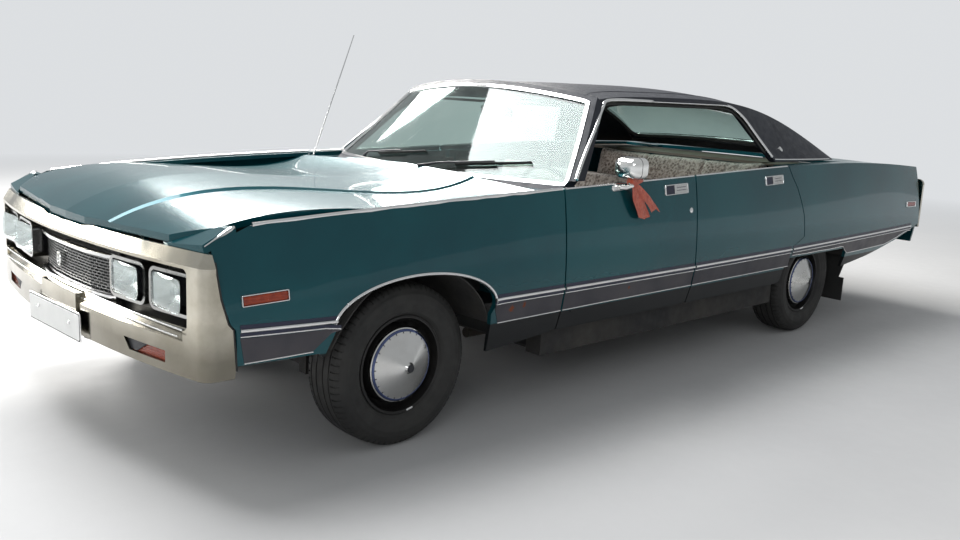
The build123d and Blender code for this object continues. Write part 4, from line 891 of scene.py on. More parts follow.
def make_side_trim():
    """The bright double moulding, a dark strip above it that is a painted shadow line, a dark line between its two
    parts, the grey band and the line under it, panel by panel.
    """
    for panel, tag, x0, x1 in panel_spans:
        body = panel_bodies[panel]
        lean0, lean1 = band_lean.get(tag, (0.0, 0.0))
        line_shape = flat_strip(0.013, 0.0012, 0.0005)
        slot_shape = flat_strip(0.0095, 0.0012, 0.0005)
        for name, lift, profile, finish in (
            ("moulding_", 0.003, half_round(0.014, 0.008), bright),
            ("moulding_low_", -0.0165, half_round(0.006, 0.004), bright),
            # The dark strip above the moulding is a painted shadow line
            ("moulding_shade_", 0.0165, line_shape, line_blue),
            ("moulding_slot_", -0.0088, slot_shape, line_blue),
        ):
            strip = side_strip(name + tag, panel, x0, x1, shifted(moulding_rows, lift), profile)
            dress_pair(strip, finish, body)
        foot = foot_rows(panel, x0, x1) if panel == "quarter" else band_foot_rows
        band = side_patch("band_" + tag, panel,
                          lambda share: (x0 + lean0 * (1 - share), x1 + lean1 * (1 - share)),
                          shifted(foot, 0.003), shifted(moulding_rows, -0.021), 0.0014)
        dress_pair(band, band_finish, body)
        dress_pair(side_strip("band_line_" + tag, panel, x0 + lean0, x1 + lean1, shifted(foot, 0.001),
                              half_round(0.006, 0.004)), bright, body)


make_side_trim()

# The front wheel opening as an ellipse, and how far the bright lip lies outside it
arch_centre_z = 0.539
arch_half, arch_rise = 0.375, 0.147
lip_gap = 0.006


def make_arch_trim():
    """The thin bright lip round the front wheel opening."""
    spine = []
    steps = 44
    for step in range(steps + 1):
        turn = pi * (step / steps)
        x = front_axle.x - (arch_half + lip_gap) * cos(turn)
        z = arch_centre_z + (arch_rise + lip_gap) * sin(turn)
        spine.append(side_point("front_fender", x, z))
    dress_pair(swept("arch_lip", spine, half_round(0.012, 0.006)), bright)


make_arch_trim()

# The stretches of the crest line: panel, x0, x1, width, height
crest_lines = (
    ("front_fender", nose + 0.25, fender_high.x - edge_gap, 0.016, 0.010),
    ("door_front", *door_spans["door_front"], 0.012, 0.006),
    ("door_rear", *door_spans["door_rear"], 0.012, 0.006),
)


def crest_point(panel, x):
    """The highest outer point of the left side skin at x, by a search inwards from the outside."""
    for step in range(60):
        y = -half_width + 0.002 * step
        hit, out, _, _ = side_panels[panel].ray_cast(vec(x, y, 2), -Z)
        if hit is not None and out.z > 0.8:
            return hit, out
    return None


def make_crest_trim():
    """The bright line along the crest of the fender and the doors."""
    for panel, x0, x1, width, height in crest_lines:
        spine = []
        count = ceil((x1 - x0) / 0.05)
        for index in range(count + 1):
            x = min(max(x0 + (x1 - x0) * index / count, x0 + 0.004), x1 - 0.004)
            found = crest_point(panel, x)
            if found is not None:
                spine.append((found[0] + vec(0, 0.006, 0.0), (Z - Y * 0.6).normalized()))
        piece = swept("crest_" + panel, spine, half_round(width, height))
        dress_pair(piece, bright, panel_bodies[panel])


make_crest_trim()

# Door handles: a frame, a dark pad in the finger recess at its front that is painted shade, and a bright paddle.
# Columns: panel, middle x, middle z.
handle_rows = (("door_front", -0.314, 0.946), ("door_rear", 0.618, 0.962))
handle_size = (0.19, 0.052)
front_lock_place = (-0.192, 0.841)


def ring_piece(name, width, height, radius, rim, depth):
    """A rounded frame that stands out from local y = 0, open in its middle."""
    outlines = []
    for grow, out in ((0, 0.0), (0, depth * 0.7), (-rim * 0.3, depth), (-rim * 0.7, depth),
                      (-rim, depth * 0.6), (-rim, 0.0)):
        points = rounded_outline(width + 2 * grow, height + 2 * grow, max(radius + grow, 0.001))
        outlines.append([(a, out, b) for a, b in points])
    return stacked(name, outlines, caps=(False, False))


def pad_piece(name, width, height, radius, low, high, soften=0.002, at=(0, 0)):
    """A rounded pad between two heights above local y = 0."""
    outlines = []
    for grow, out in ((0, low), (0, high - soften), (-soften, high)):
        points = rounded_outline(width + 2 * grow, height + 2 * grow, max(radius + grow, 0.0008))
        outlines.append([(a + at[0], out, b + at[1]) for a, b in points])
    return stacked(name, outlines)


def make_handles():
    """The four door handles, with painted shade in their front third, and the front door locks."""
    width, height = handle_size
    for panel, x, z in handle_rows:
        place = side_frame(panel, x, z, radians(2))
        middle = width * 0.20
        line = (width * 0.40, 0.0032, 0.0014, 0.005, 0.0074, 0.001)
        pieces = [(ring_piece("handle_frame_" + panel, width, height, 0.008, 0.007, 0.009), bright)]
        # Columns: name, finish, then the pad's measures
        for kind, finish, *measures in (
            # The dark recess pad is painted shade in the finger recess
            ("recess", line_blue, width - 0.004, height - 0.004, 0.006, -0.002, 0.0012),
            ("paddle", cap_steel, width * 0.56, height * 0.78, 0.004, 0.0, 0.0065, 0.002,
             (middle, 0)),
            ("line", line_blue, *line, (middle, 0.008)),
            ("line_low", line_blue, *line, (middle, -0.006)),
        ):
            pieces.append((pad_piece("handle_" + kind + "_" + panel, *measures), finish))
        for piece, finish in pieces:
            dress_pair(moved(piece, place), finish, panel)
    lock = lathe("door_lock_door_front", ((0.0, 0.013), (0.003, 0.013), (0.004, 0.011), (0.0045, 0.004),
                                          (0.003, 0.0035), (0.003, 0.0)), 32, Matrix.Rotation(pi, 4, "Z"))
    dress_pair(moved(lock, side_frame("door_front", *front_lock_place)), bright, "door_front")


make_handles()


def make_markers():
    """Side marker lamps: an amber lens in a bright frame on each fender, a red one on each quarter."""
    for name, panel, x, z, lean, lens in (
        ("marker_front", "front_fender", -2.539, 0.673, 2.0, lens_amber),
        ("marker_rear", "quarter", 2.60, 0.735, -1.0, lens_red),
    ):
        place = side_frame(panel, x, z, radians(lean))
        ring = ring_piece(name + "_frame", 0.168, 0.040, 0.006, 0.006, 0.008)
        dress_pair(moved(ring, place), bright)
        pad = pad_piece(name + "_lens", 0.154, 0.027, 0.004, -0.002, 0.0065)
        dress_pair(moved(pad, place), lens)


make_markers()


# Window and roof trim

def groove_strip(width, height):
    """A flat bright strip with a narrow groove near one edge."""
    half = width / 2
    return [(-half, -0.003), (-half, height * 0.7), (-half + 0.002, height), (half * 0.35, height),
            (half * 0.45, height * 0.45), (half * 0.6, height * 0.45), (half * 0.7, height * 0.9),
            (half - 0.0015, height * 0.9), (half, height * 0.6), (half, -0.003)]


def make_glass_trim(name, node, out, width, height, spread):
    """A bright strip that follows the rim of a window's outer face, which looks outwards along out."""
    ring = face_rim(node, out)
    middle = sum(ring, Vector()) / len(ring)
    ring = even_ring(ring, 0.035)
    spine = []
    for point in ring:
        away = point - middle
        away = (away - out * away.dot(out)).normalized()
        spine.append((point + away * spread + out * 0.001, out))
    dress(swept(name, spine, groove_strip(width, height), loop=True), bright)


windshield_out, backlight_out = vec(-0.73, 0, 0.68).normalized(), vec(0.42, 0, 0.9).normalized()
make_glass_trim("windshield_trim", "windshield", windshield_out, 0.022, 0.006, 0.005)
make_glass_trim("backlight_trim", "backlight", backlight_out, 0.018, 0.006, 0.004)


def make_backlight_reveal():
    """The dark inner surround of the rear window, with round corners, just under the glass."""
    ring = even_ring(face_rim("backlight", backlight_out), 0.035)
    count = len(ring)
    for _ in range(14):
        ring = [(ring[k - 1] + ring[k] * 2 + ring[(k + 1) % count]) / 4 for k in range(count)]
    spine = [(point - backlight_out * 0.016, backlight_out) for point in ring]
    profile = [(-0.034, -0.001), (-0.034, 0.003), (0.030, 0.003), (0.030, -0.001)]
    dress(swept("backlight_reveal", spine, profile, loop=True), headliner)


make_backlight_reveal()

# The bright line round the side window opening, on the left: x, y, z
opening_line = ((-0.938, -0.872, 1.000), (-0.878, -0.845, 1.061), (-0.760, -0.784, 1.162),
                (-0.637, -0.722, 1.265), (-0.594, -0.700, 1.297), (-0.527, -0.680, 1.326),
                (-0.397, -0.660, 1.343), (-0.132, -0.650, 1.353), (0.346, -0.640, 1.353),
                (0.560, -0.640, 1.347), (0.655, -0.655, 1.330), (0.690, -0.680, 1.290),
                (0.735, -0.760, 1.190), (0.775, -0.835, 1.085), (0.782, -0.845, 1.064))
# The vinyl's long seam seen from above: x, y. Its foot seen from the side: x, z
roof_seam = ((-0.600, -0.585), (-0.516, -0.535), (-0.300, -0.505), (0.300, -0.490), (0.900, -0.500),
             (1.150, -0.560))
vinyl_foot = ((0.800, 1.062), (0.900, 1.059), (1.140, 1.056), (1.400, 1.053), (1.560, 1.051))


def make_roof_trim():
    """The bright line round the side windows, the vinyl's seams and foot strip, and a bare round ornament."""
    out = vec(0, -0.9, 0.43).normalized()
    line = even_line(eased(even_line([Vector(p) for p in opening_line], 0.05), 2), 0.03)
    spine = snapped(roof_and_frame, line, 0.05, out)
    placed = eased([point for point, _ in spine], 3)
    ways = [(out - X * max(0.0, min(0.5, (-0.5 - point.x) * 1.3))).normalized() for point in placed]
    lifts = [0.001 + 0.006 * max(0.0, min(1.0, (-0.6 - point.x) * 8)) for point in placed]
    spine = [(point + way * lift, way) for point, way, lift in zip(placed, ways, lifts)]
    dress_pair(swept("opening_trim", spine, half_round(0.018, 0.008)), bright)
    inner = [(point - out * 0.010 - Z * 0.012, out) for point in placed[3:-3]]
    dress_pair(swept("opening_seal", inner, half_round(0.020, 0.008)), rubber)
    seam = laid(roof_surface, even_line([vec(x, y, 1.5) for x, y in roof_seam], 0.05), -Z, 0.6)
    seam = list(zip(eased([point for point, _ in seam], 2), [way for _, way in seam]))
    dress_pair(swept("vinyl_seam", seam, half_round(0.010, 0.003)), vinyl)
    foot = laid(roof_surface, even_line([vec(x, -0.9, z) for x, z in vinyl_foot], 0.04), Y, 0.4)
    dress_pair(swept("vinyl_foot_trim", foot, half_round(0.010, 0.005)), bright)
    spot, way = laid(roof_surface, [vec(0.965, -0.9, 1.115)], Y, 0.4)[0]
    button = lathe("roof_ornament", ((-0.002, 0.017), (0.003, 0.0165), (0.004, 0.014), (0.003, 0.012),
                                     (0.003, 0.009), (0.0045, 0.007), (0.0045, 0.0001)), 36)
    turn = (-Y).rotation_difference(way).to_matrix().to_4x4()
    dress_pair(moved(button, Matrix.Translation(spot) @ turn), bright)


make_roof_trim()


# Nose

loop_half = -bumper_low.y
ledge_z = 0.571


def bow_x(y):
    """The x of the bumper's face at y, on its bow."""
    return nose + 0.008 + 0.064 * (y / loop_half) ** 2


fender_surface = surface("front_fender_left")
bumper_surface = surface("front_bumper")
# The cap line from the crest down to the bumper: x, y, z
tip_line = ((-2.600, -0.884, 0.96), (-2.640, -0.887, 0.96), (-2.675, -0.888, 0.94), (-2.705, -0.889, 0.93),
            (-2.735, -0.890, 0.92), (-2.752, -0.891, 0.90))
# The seam behind the bumper's arm: distance behind the nose, height
seam_line = ((0.144, 0.800), (0.144, 0.765), (0.158, 0.684), (0.184, 0.600), (0.202, 0.578), (0.208, 0.510),
             (0.212, 0.441))


def tapered(name, spine, widths, height):
    """A flat bright blade along a spine, with its own width at each row."""
    verts = []
    for index, (point, out) in enumerate(spine):
        before, after = spine[max(index - 1, 0)][0], spine[min(index + 1, len(spine) - 1)][0]
        along = (after - before).normalized()
        out = (out - along * out.dot(along)).normalized()
        across = out.cross(along)
        half = widths[index] / 2
        for a, b in ((-half, -0.002), (-half, height * 0.5), (-half * 0.5, height), (half * 0.5, height),
                     (half, height * 0.5), (half, -0.002)):
            verts.append(point + across * a + out * b)
    faces = grid_faces(len(spine), 6, closed=True)
    faces += [tuple(range(6)), tuple(range(len(verts) - 6, len(verts)))]
    return new_piece(name, verts, faces)


def make_nose_trim():
    """The blade on each fender's tip, the rubber seam behind the bumper and the bright ledge lines."""
    spine = laid(fender_surface, even_line([Vector(p) for p in tip_line], 0.02), -Z, 0.25)
    placed = eased([point for point, _ in spine], 1)
    share = [index / (len(placed) - 1) for index in range(len(placed))]
    widths = [0.006 + 0.008 * sin(pi * min(1.0, 0.35 + 0.9 * t)) for t in share]
    blade = tapered("tip_blade", [(point, way) for point, (_, way) in zip(placed, spine)], widths, 0.006)
    dress_pair(blade, bright)
    seam = []
    for back, z in seam_line:
        x = nose + back + 0.0045
        hit, _, _, _ = bumper_surface.ray_cast(vec(x - 0.012, -1.3, z), Y)
        seam.append(vec(x, (hit.y if hit else -loop_half) + 0.004, z))
    spine = [(point, -Y) for point in even_line(seam, 0.03)]
    dress_pair(swept("arm_seam", spine, half_round(0.0085, 0.003)), rubber)
    out = (Z - X * 0.6).normalized()
    for name, back, z, size in (("ledge_line", 0.030, ledge_z + 0.001, 0.008),
                                ("ledge_line_low", 0.012, ledge_z - 0.0165, 0.005)):
        spine = [(vec(bow_x(y) + back, y, z), out) for y in [-0.835 + 0.055 * k for k in range(13)]]
        dress_pair(swept(name, spine, half_round(size, size * 0.5)), bright)


make_nose_trim()

grille_low, grille_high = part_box("grille")
# The grille's folded plan: y, distance behind its own front.
grille_fold = ((-0.343, 0.046), (-0.310, 0.028), (-0.170, 0.006), (0.0, 0.0), (0.170, 0.006), (0.310, 0.028),
               (0.343, 0.046))


def fold_x(y):
    """The x of the grille's front at y."""
    return grille_low.x + height_at(grille_fold, y)


def make_grille():
    """The grille's staggered upright links, its light ledges and a bare oval ring on a stem."""
    corners = []
    rows = 12
    pitch = (grille_high.z - grille_low.z - 0.018) / rows
    for row in range(rows):
        z = grille_low.z + 0.009 + pitch * row
        shift = 0.014 if row % 2 else 0.0
        for y in [column * 0.028 + shift for column in range(-12, 13)]:
            if abs(y) <= 0.332:
                corners.append(((fold_x(y) + 0.009, y - 0.0014, z + 0.001),
                                (fold_x(y) + 0.020, y + 0.0014, z + pitch - 0.001)))
    dress(blocks("grille_links", corners), grille_metal)
    ys = [-0.345, -0.310, -0.240, -0.170, -0.085, 0.0, 0.085, 0.170, 0.240, 0.310, 0.345]
    for name, z, reach in (("grille_ledge_low", grille_low.z + 0.003, 0.016),
                           ("grille_ledge_top", grille_high.z - 0.003, 0.012)):
        points = [vec(fold_x(y) - 0.002, y, z) for y in ys]
        profile = [(-0.009, -0.004), (-0.009, reach * 0.6), (-0.006, reach), (0.006, reach), (0.009, reach * 0.6),
                   (0.009, -0.004)]
        dress(swept(name, [(p, -X) for p in points], profile), bright)
    ring = []
    for step in range(40):
        turn = 2 * pi * step / 40
        y, z = 0.098 + 0.0155 * cos(turn), 0.650 + 0.026 * sin(turn)
        ring.append((vec(fold_x(y) - 0.001, y, z), -X))
    dress(swept("grille_ring", ring, half_round(0.006, 0.006), loop=True), reflector)
    stem = rod("grille_ring_stem", [vec(fold_x(0.098) - 0.001, 0.098, z) for z in (0.632, 0.650, 0.668)],
               [0.002, 0.004, 0.002])
    dress(stem, reflector)


make_grille()


def make_headlamp(tag, low, high):
    """One lamp: a fluted glass front over a bright bowl with a bulb, in place of the solid block."""
    middle = (low + high) / 2
    width, height = high.y - low.y, high.z - low.z
    outlines = []
    for back, share in ((0.014, 1.0), (0.026, 0.86), (0.040, 0.66), (0.052, 0.42), (0.060, 0.16)):
        radius = max(0.004, min(width, height) * 0.5 * share * (0.35 + (1 - share) * 0.6))
        shape = rounded_outline((width - 0.012) * share, (height - 0.012) * share, radius, 6)
        outlines.append([(low.x + back, middle.y + a, middle.z + b) for a, b in shape])
    bowl = stacked("lamp_bowl_" + tag, outlines, caps=(False, True))
    dress(bowl, bowl_metal)
    bulb_rows = ((-0.016, 0.0001), (-0.014, 0.008), (-0.004, 0.012), (0.008, 0.010), (0.016, 0.006))
    bulb = lathe("lamp_bulb_" + tag, bulb_rows, 24, Matrix.Rotation(pi / 2, 4, "Z"))
    bulb = moved(bulb, Matrix.Translation(vec(low.x + 0.042, middle.y, middle.z)))
    dress(bulb, lens_clear)
    columns, rows = 40, 12
    front, back = [], []
    for row in range(rows + 1):
        for column in range(columns + 1):
            a, b = 2 * column / columns - 1, 2 * row / rows - 1
            edge = max(abs(a), abs(b)) ** 8
            pinch = 1 - 0.035 * (abs(a) * abs(b)) ** 3
            y = middle.y + a * (width / 2 - 0.003) * pinch
            z = middle.z + b * (height / 2 - 0.003) * pinch
            crown = 0.009 * (1 - a * a) * (1 - b * b) + 0.003 * (1 - edge)
            flute = 0.0011 * cos(column * pi) if 1 < row < rows - 1 else 0.0
            front.append(vec(low.x + 0.008 - crown - flute, y, z))
            back.append(vec(low.x + 0.012, y, z))
    lens = new_piece("lamp_lens_" + tag, front + back, sheet_faces(rows, columns))
    return dress(lens, lens_clear)


def loose_boxes(name):
    """The boxes of a node's loose solids, from left to right."""
    work = welded(name)
    boxes, seen = [], set()
    for vert in work.verts:
        if vert in seen:
            continue
        group, stack = [], [vert]
        seen.add(vert)
        while stack:
            one = stack.pop()
            group.append(one.co.copy())
            for edge in one.link_edges:
                other = edge.other_vert(one)
                if other not in seen:
                    seen.add(other)
                    stack.append(other)
        boxes.append((Vector([min(p[i] for p in group) for i in range(3)]),
                      Vector([max(p[i] for p in group) for i in range(3)])))
    work.free()
    return sorted(boxes, key=lambda pair: pair[0].y)


for number, (lamp_low, lamp_high) in enumerate(loose_boxes("headlamps")):
    lens = make_headlamp(str(number + 1), lamp_low, lamp_high)
    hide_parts("headlamps")


# A plate's layers: name, width, height, finish
plate_layers = (("plate_back", 0.520, 0.112, bright),
                ("plate_edge", 0.512, 0.104, dark_panel),
                ("plate_face", 0.504, 0.096, plate_white))


def make_plate(prefix, place, heights):
    """A blank plate at a place, its layers between their low and high heights."""
    for (name, width, height, finish), (low, high) in zip(plate_layers, heights):
        piece = pad_piece(prefix + name, width, height, 0.010, low, high, 0.0008)
        dress(moved(piece, place), finish)


def make_front_plate():
    """A blank plate with a dark edge line on a bracket, its bolts and its thin stay."""
    place = (Matrix.Translation(vec(nose - 0.004, 0.030, 0.446)) @ Matrix.Rotation(radians(-1.5), 4, "X")
             @ Matrix.Rotation(radians(90), 4, "Z"))
    make_plate("", place, ((-0.002, 0.0015), (0.001, 0.0022), (0.001, 0.0028)))
    bolts = [lathe("bolt", ((-0.002, 0.0075), (0.002, 0.0075), (0.004, 0.006), (0.0045, 0.0001)), 20,
                   facing(nose - 0.0065, y, 0.455, -pi / 2)) for y in (-0.125, 0.185)]
    dress(join("plate_bolts", bolts), bright)
    stay = rod("plate_stay", [vec(nose + 0.02, -0.20, 0.412), vec(nose + 0.05, -0.31, 0.408),
                              vec(nose + 0.09, -0.42, 0.420)], 0.0035)
    dress(stay, bright)


make_front_plate()


def make_turn_shades():
    """A dark slanted sheet over the inner part of each turn signal's lens: the pocket's painted shadow."""
    low, high = loose_boxes("turn_signals")[0]
    x = low.x - 0.0015
    verts = []
    for back in (0.0, 0.003):
        for y, z in ((high.y - 0.002, low.z + 0.002), (high.y - 0.002, high.z - 0.002),
                     (high.y - 0.135, high.z - 0.002), (high.y - 0.070, low.z + 0.002)):
            inner = 0.012 * ((high.y - y) / 0.2)
            verts.append(vec(x + inner + back, y, z))
    faces = [(0, 1, 2, 3), (7, 6, 5, 4)] + [(i, (i + 1) % 4, 4 + (i + 1) % 4, 4 + i) for i in range(4)]
    dress_pair(new_piece("turn_shade", verts, faces), dark_panel)


make_turn_shades()


# Mirror and ribbon

def make_mirror():
    """A bright rounded mirror head with its glass behind, on a curved arm and a foot on the door."""
    low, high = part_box("mirror")
    centre = vec(low.x + 0.060, (low.y + high.y) / 2 - 0.002, high.z - 0.050)
    rows = ((-0.060, 0.30), (-0.057, 0.55), (-0.050, 0.76), (-0.036, 0.90), (-0.018, 0.97), (0.004, 1.0),
            (0.022, 1.0), (0.034, 0.97), (0.038, 0.93), (0.038, 0.88), (0.034, 0.86))
    outlines = []
    for back, share in rows:
        shape = rounded_outline(0.142 * share, 0.098 * share, 0.030 * share, 6)
        outlines.append([(centre.x + back, centre.y + a, centre.z + b) for a, b in shape])
    head = dress(stacked("mirror_head", outlines), reflector, "door_front_left")
    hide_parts("mirror")
    face = [[(centre.x + back, centre.y + a, centre.z + b) for a, b in rounded_outline(0.118, 0.078, 0.024, 6)]
            for back in (0.030, 0.0355)]
    dress(stacked("mirror_glass", face), reflector, "door_front_left", "window_glass")
    band = [(vec(centre.x - 0.010, centre.y + a, centre.z + b), vec(0, a, b).normalized())
            for a, b in rounded_outline(0.1385, 0.0955, 0.029, 6)]
    dress(swept("mirror_line", band, half_round(0.003, 0.0015), loop=True), dark_panel, "door_front_left")
    foot_place = side_frame("door_front", -0.765, 0.968, radians(3))
    foot = pad_piece("mirror_foot", 0.088, 0.026, 0.012, -0.002, 0.012, 0.005)
    dress(moved(foot, foot_place), reflector, "door_front_left")
    root = foot_place.translation + vec(0.010, -0.008, 0.004)
    bends = [root, root + vec(0.018, -0.022, 0.000), root + vec(0.036, -0.036, 0.008),
             vec(centre.x - 0.004, centre.y + 0.006, centre.z - 0.060),
             vec(centre.x, centre.y, centre.z - 0.040)]
    arm = rod("mirror_arm", bends, [0.012, 0.0115, 0.0105, 0.010, 0.012], 16)
    dress(arm, reflector, "door_front_left")


make_mirror()


def ribbon_tail(name, top, foot, top_width, foot_width, wave, notch):
    """One hanging end of the ribbon: a thin strip that waves a little and hangs clear of the door."""
    rows, columns = 22, 8
    front, back = [], []
    for row in range(rows + 1):
        share = row / rows
        middle = top.lerp(foot, share)
        width = top_width + (foot_width - top_width) * min(1.0, share * 2.2)
        for column in range(columns + 1):
            across = column / columns - 0.5
            x = middle.x + across * width
            z = middle.z + notch * (abs(across) * 2 - 0.4) * share ** 6
            door, _ = side_point("door_front", x, max(z, 0.80))
            fold = wave * (0.4 + share) * sin(across * 5.5 + share * 4.0 + wave * 300)
            y = min(middle.y, door.y - 0.007) - abs(fold) - 0.002
            front.append(vec(x, y - 0.0006, z))
            back.append(vec(x, y + 0.0006, z))
    return new_piece(name, front + back, sheet_faces(rows, columns), soft_crease)


def make_ribbon():
    """The ribbon: a knot round the mirror's arm and two hanging tails."""
    knot_place = vec(-0.690, -0.996, 0.992)
    long_tail = ribbon_tail("ribbon_tail_long", knot_place + vec(0.004, 0.0, -0.012),
                            vec(-0.605, -1.002, 0.828), 0.036, 0.082, 0.0045, 0.010)
    short_tail = ribbon_tail("ribbon_tail_short", knot_place + vec(0.020, -0.004, -0.010),
                             vec(-0.528, -1.008, 0.862), 0.032, 0.062, 0.0035, -0.016)
    knot = soft_block("ribbon_knot", (0.058, 0.040, 0.042), 0.016, 4)
    for vert in knot.data.vertices:
        pull = 1 + 0.16 * sin(vert.co.x * 140) + 0.12 * cos(vert.co.z * 210)
        vert.co.y *= pull
    knot = moved(knot, Matrix.Translation(knot_place + vec(0, 0.006, 0))
                 @ Matrix.Rotation(radians(24), 4, "Y"))
    wing = soft_block("ribbon_wing", (0.050, 0.012, 0.030), 0.005, 3)
    wing = moved(wing, Matrix.Translation(knot_place + vec(0.034, -0.004, 0.010))
                 @ Matrix.Rotation(radians(-18), 4, "Y"))
    knot = dress(join("ribbon_knot", [knot, wing], soft_crease), ribbon_cloth, "door_front_left")
    for piece, width in ((long_tail, 0.082), (short_tail, 0.062)):
        dress(piece, ribbon_cloth, "door_front_left")
    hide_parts("ribbon")


make_ribbon()


# Seats

def side_block(name, outline, half, edge):
    """A bench's cushion or back: its side outline, (x, z), carried across the car, with rounded edges."""
    verts = [vec(x, y, z) for y in (-half, half) for x, z in outline]
    width = len(outline)
    faces = [tuple(range(width)), tuple(range(2 * width - 1, width - 1, -1))]
    faces += [(i, (i + 1) % width, width + (i + 1) % width, width + i) for i in range(width)]
    piece = new_piece(name, verts, faces)
    work = bmesh.new()
    work.from_mesh(piece.data)
    bmesh.ops.bevel(work, geom=list(work.edges), offset=edge, segments=3, profile=0.6, affect="EDGES",
                    clamp_overlap=True)
    work.to_mesh(piece.data)
    work.free()
    return settle(piece, soft_crease)


# The cloth simulation's length, and the height over which a held foot lets go
cloth_frames, held_rise = 20, 0.03


def puffed(piece, voxel, reach, held_z=None):
    """A padded form: the piece remeshed, swelled by a cloth simulation and smoothed. Its foot stays put."""
    remesh = piece.modifiers.new("remesh", "REMESH")
    remesh.mode = "VOXEL"
    remesh.voxel_size = voxel
    apply_all(piece)
    before = [v.co.copy() for v in piece.data.vertices]
    cloth = piece.modifiers.new("cloth", "CLOTH")
    for key, value in (("quality", 5), ("mass", 0.3), ("tension_stiffness", 12), ("compression_stiffness", 12),
                       ("use_pressure", True), ("uniform_pressure_force", 4.0)):
        setattr(cloth.settings, key, value)
    cloth.settings.effector_weights.gravity = 0.0
    cloth.point_cache.frame_start = 1
    cloth.point_cache.frame_end = cloth_frames
    for number in range(1, cloth_frames + 1):
        scene.frame_set(number)
    apply_all(piece)
    scene.frame_set(1)
    for vert, old in zip(piece.data.vertices, before):
        shift = vert.co - old
        if shift.length > reach:
            vert.co = old + shift * (reach / shift.length)
        if held_z is not None and old.z < held_z + held_rise:
            vert.co = old.lerp(vert.co, max(0.0, (old.z - held_z) / held_rise))
    smooth = piece.modifiers.new("smooth", "SMOOTH")
    smooth.factor = 0.5
    smooth.iterations = 3
    subdivide = piece.modifiers.new("subdivide", "SUBSURF")
    subdivide.levels = 1
    apply_all(piece)
    piece.data.shade_smooth()
    return piece


def apply_all(piece):
    """The piece's mesh with its modifiers applied."""
    graph = bpy.context.evaluated_depsgraph_get()
    mesh = bpy.data.meshes.new_from_object(piece.evaluated_get(graph))
    piece.modifiers.clear()
    piece.data = mesh


def mesh_surface(piece):
    """A piece's surface, to be met by rays."""
    return BVHTree.FromPolygons([v.co.copy() for v in piece.data.vertices],
                                [list(face.vertices) for face in piece.data.polygons])


def seam_grooves(piece, places, depth, width):
    """Sewn channels pressed into a padded piece at the given y places."""
    ways = [vert.normal.copy() for vert in piece.data.vertices]
    for vert, way in zip(piece.data.vertices, ways):
        near = min(abs(vert.co.y - y) for y in places)
        if near < width * 3:
            vert.co -= way * depth * 2.718 ** (-(near / width) ** 2)
    piece.data.update()


def bench(name, base_z, cushion_z):
    """A bench's cushion and back, each padded, sewn in channels and piped."""
    low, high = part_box(name)
    front, back, half = low.x, high.x, high.y
    inset = 0.012
    cushion = side_block(name + "_cushion", [
        (front + inset, base_z + 0.01), (back - 0.20, base_z + 0.01), (back - 0.185, cushion_z - 0.045),
        (front + 0.05, cushion_z - inset), (front + inset, cushion_z - 0.045)], half - inset, 0.03)
    rest = side_block(name + "_back", [
        (back - 0.195, cushion_z - 0.06), (back - 0.02, cushion_z - 0.10), (back - 0.012, high.z - 0.03),
        (back - 0.085, high.z - inset)], half - inset, 0.028)
    for piece, voxel, held in ((cushion, 0.02, base_z + 0.01), (rest, 0.018, None)):
        puffed(piece, voxel, 0.024, held)
        seam_grooves(piece, [-half / 3, half / 3], 0.006, 0.008)
        dress(piece, seat_cloth)
    ys = [-half + 0.03 + (half - 0.03) * 2 * k / 40 for k in range(41)]
    crown = laid(mesh_surface(rest), [vec(back - 0.05, y, high.z + 0.2) for y in ys], -Z, 0.4)
    piping = swept(name + "_piping", [(p - out * 0.001, out) for p, out in crown], half_round(0.012, 0.006))
    dress(piping, seat_vinyl)
    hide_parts(name)


bench("front_seat", 0.44, 0.56)
bench("rear_seat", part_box("rear_seat")[0].z, 0.61)


# Cabin

def make_seat_bases():
    """The front bench's dark base and its two risers."""
    low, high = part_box("front_seat")
    pieces = [box_piece("base", (low.x + 0.02, -high.y + 0.03, 0.40),
                        (high.x - 0.10, high.y - 0.03, 0.455), 0.012)]
    for y in (-0.42, 0.42):
        pieces.append(box_piece("riser", (low.x + 0.10, y - 0.02, low.z + 0.004),
                                (high.x - 0.12, y + 0.02, 0.41), 0.006))
    dress(join("front_seat_base", pieces), dark_panel)


def make_door_cards():
    """The doors' inner panels with their armrests, bright lines, winders and latches."""
    for panel, low, high, x1 in (("door_front", door_low, door_high, door_high.x - 0.03),
                                 ("door_rear", rear_low, rear_high, 0.78)):
        inner, x0 = high.y, low.x + 0.055
        card = box_piece("card_" + panel, (x0, inner - 0.002, 0.43), (x1, inner + 0.010, high.z - 0.055), 0.005)
        dress_pair(card, card_vinyl, panel)
        arm = box_piece("armrest_" + panel, (x0 + 0.25, inner + 0.004, 0.70), (x1 - 0.08, inner + 0.052, 0.748),
                        0.016)
        dress_pair(arm, seat_vinyl, panel)
        lines = [rod("line", [vec(x, inner + 0.0105, z) for x in (x0 + 0.02, x1 - 0.02)], 0.0028, 8)
                 for z in (0.52, 0.64, high.z - 0.11)]
        dress_pair(join("card_lines_" + panel, lines), bright, panel)
        bends = [vec(x0 + 0.20 + a, inner + b, z) for a, b, z in (
            (0, 0.012, 0.655), (0, 0.030, 0.655), (0.03, 0.034, 0.64), (0.09, 0.036, 0.61), (0.092, 0.055, 0.609))]
        crank = rod("crank", bends, [0.012, 0.010, 0.006, 0.006, 0.009])
        dress_pair(crank, bright, panel)
        latch = box_piece("latch_" + panel, (x0 + 0.30, inner + 0.006, 0.80), (x0 + 0.39, inner + 0.022, 0.822),
                          0.006)
        dress_pair(latch, bright, panel)


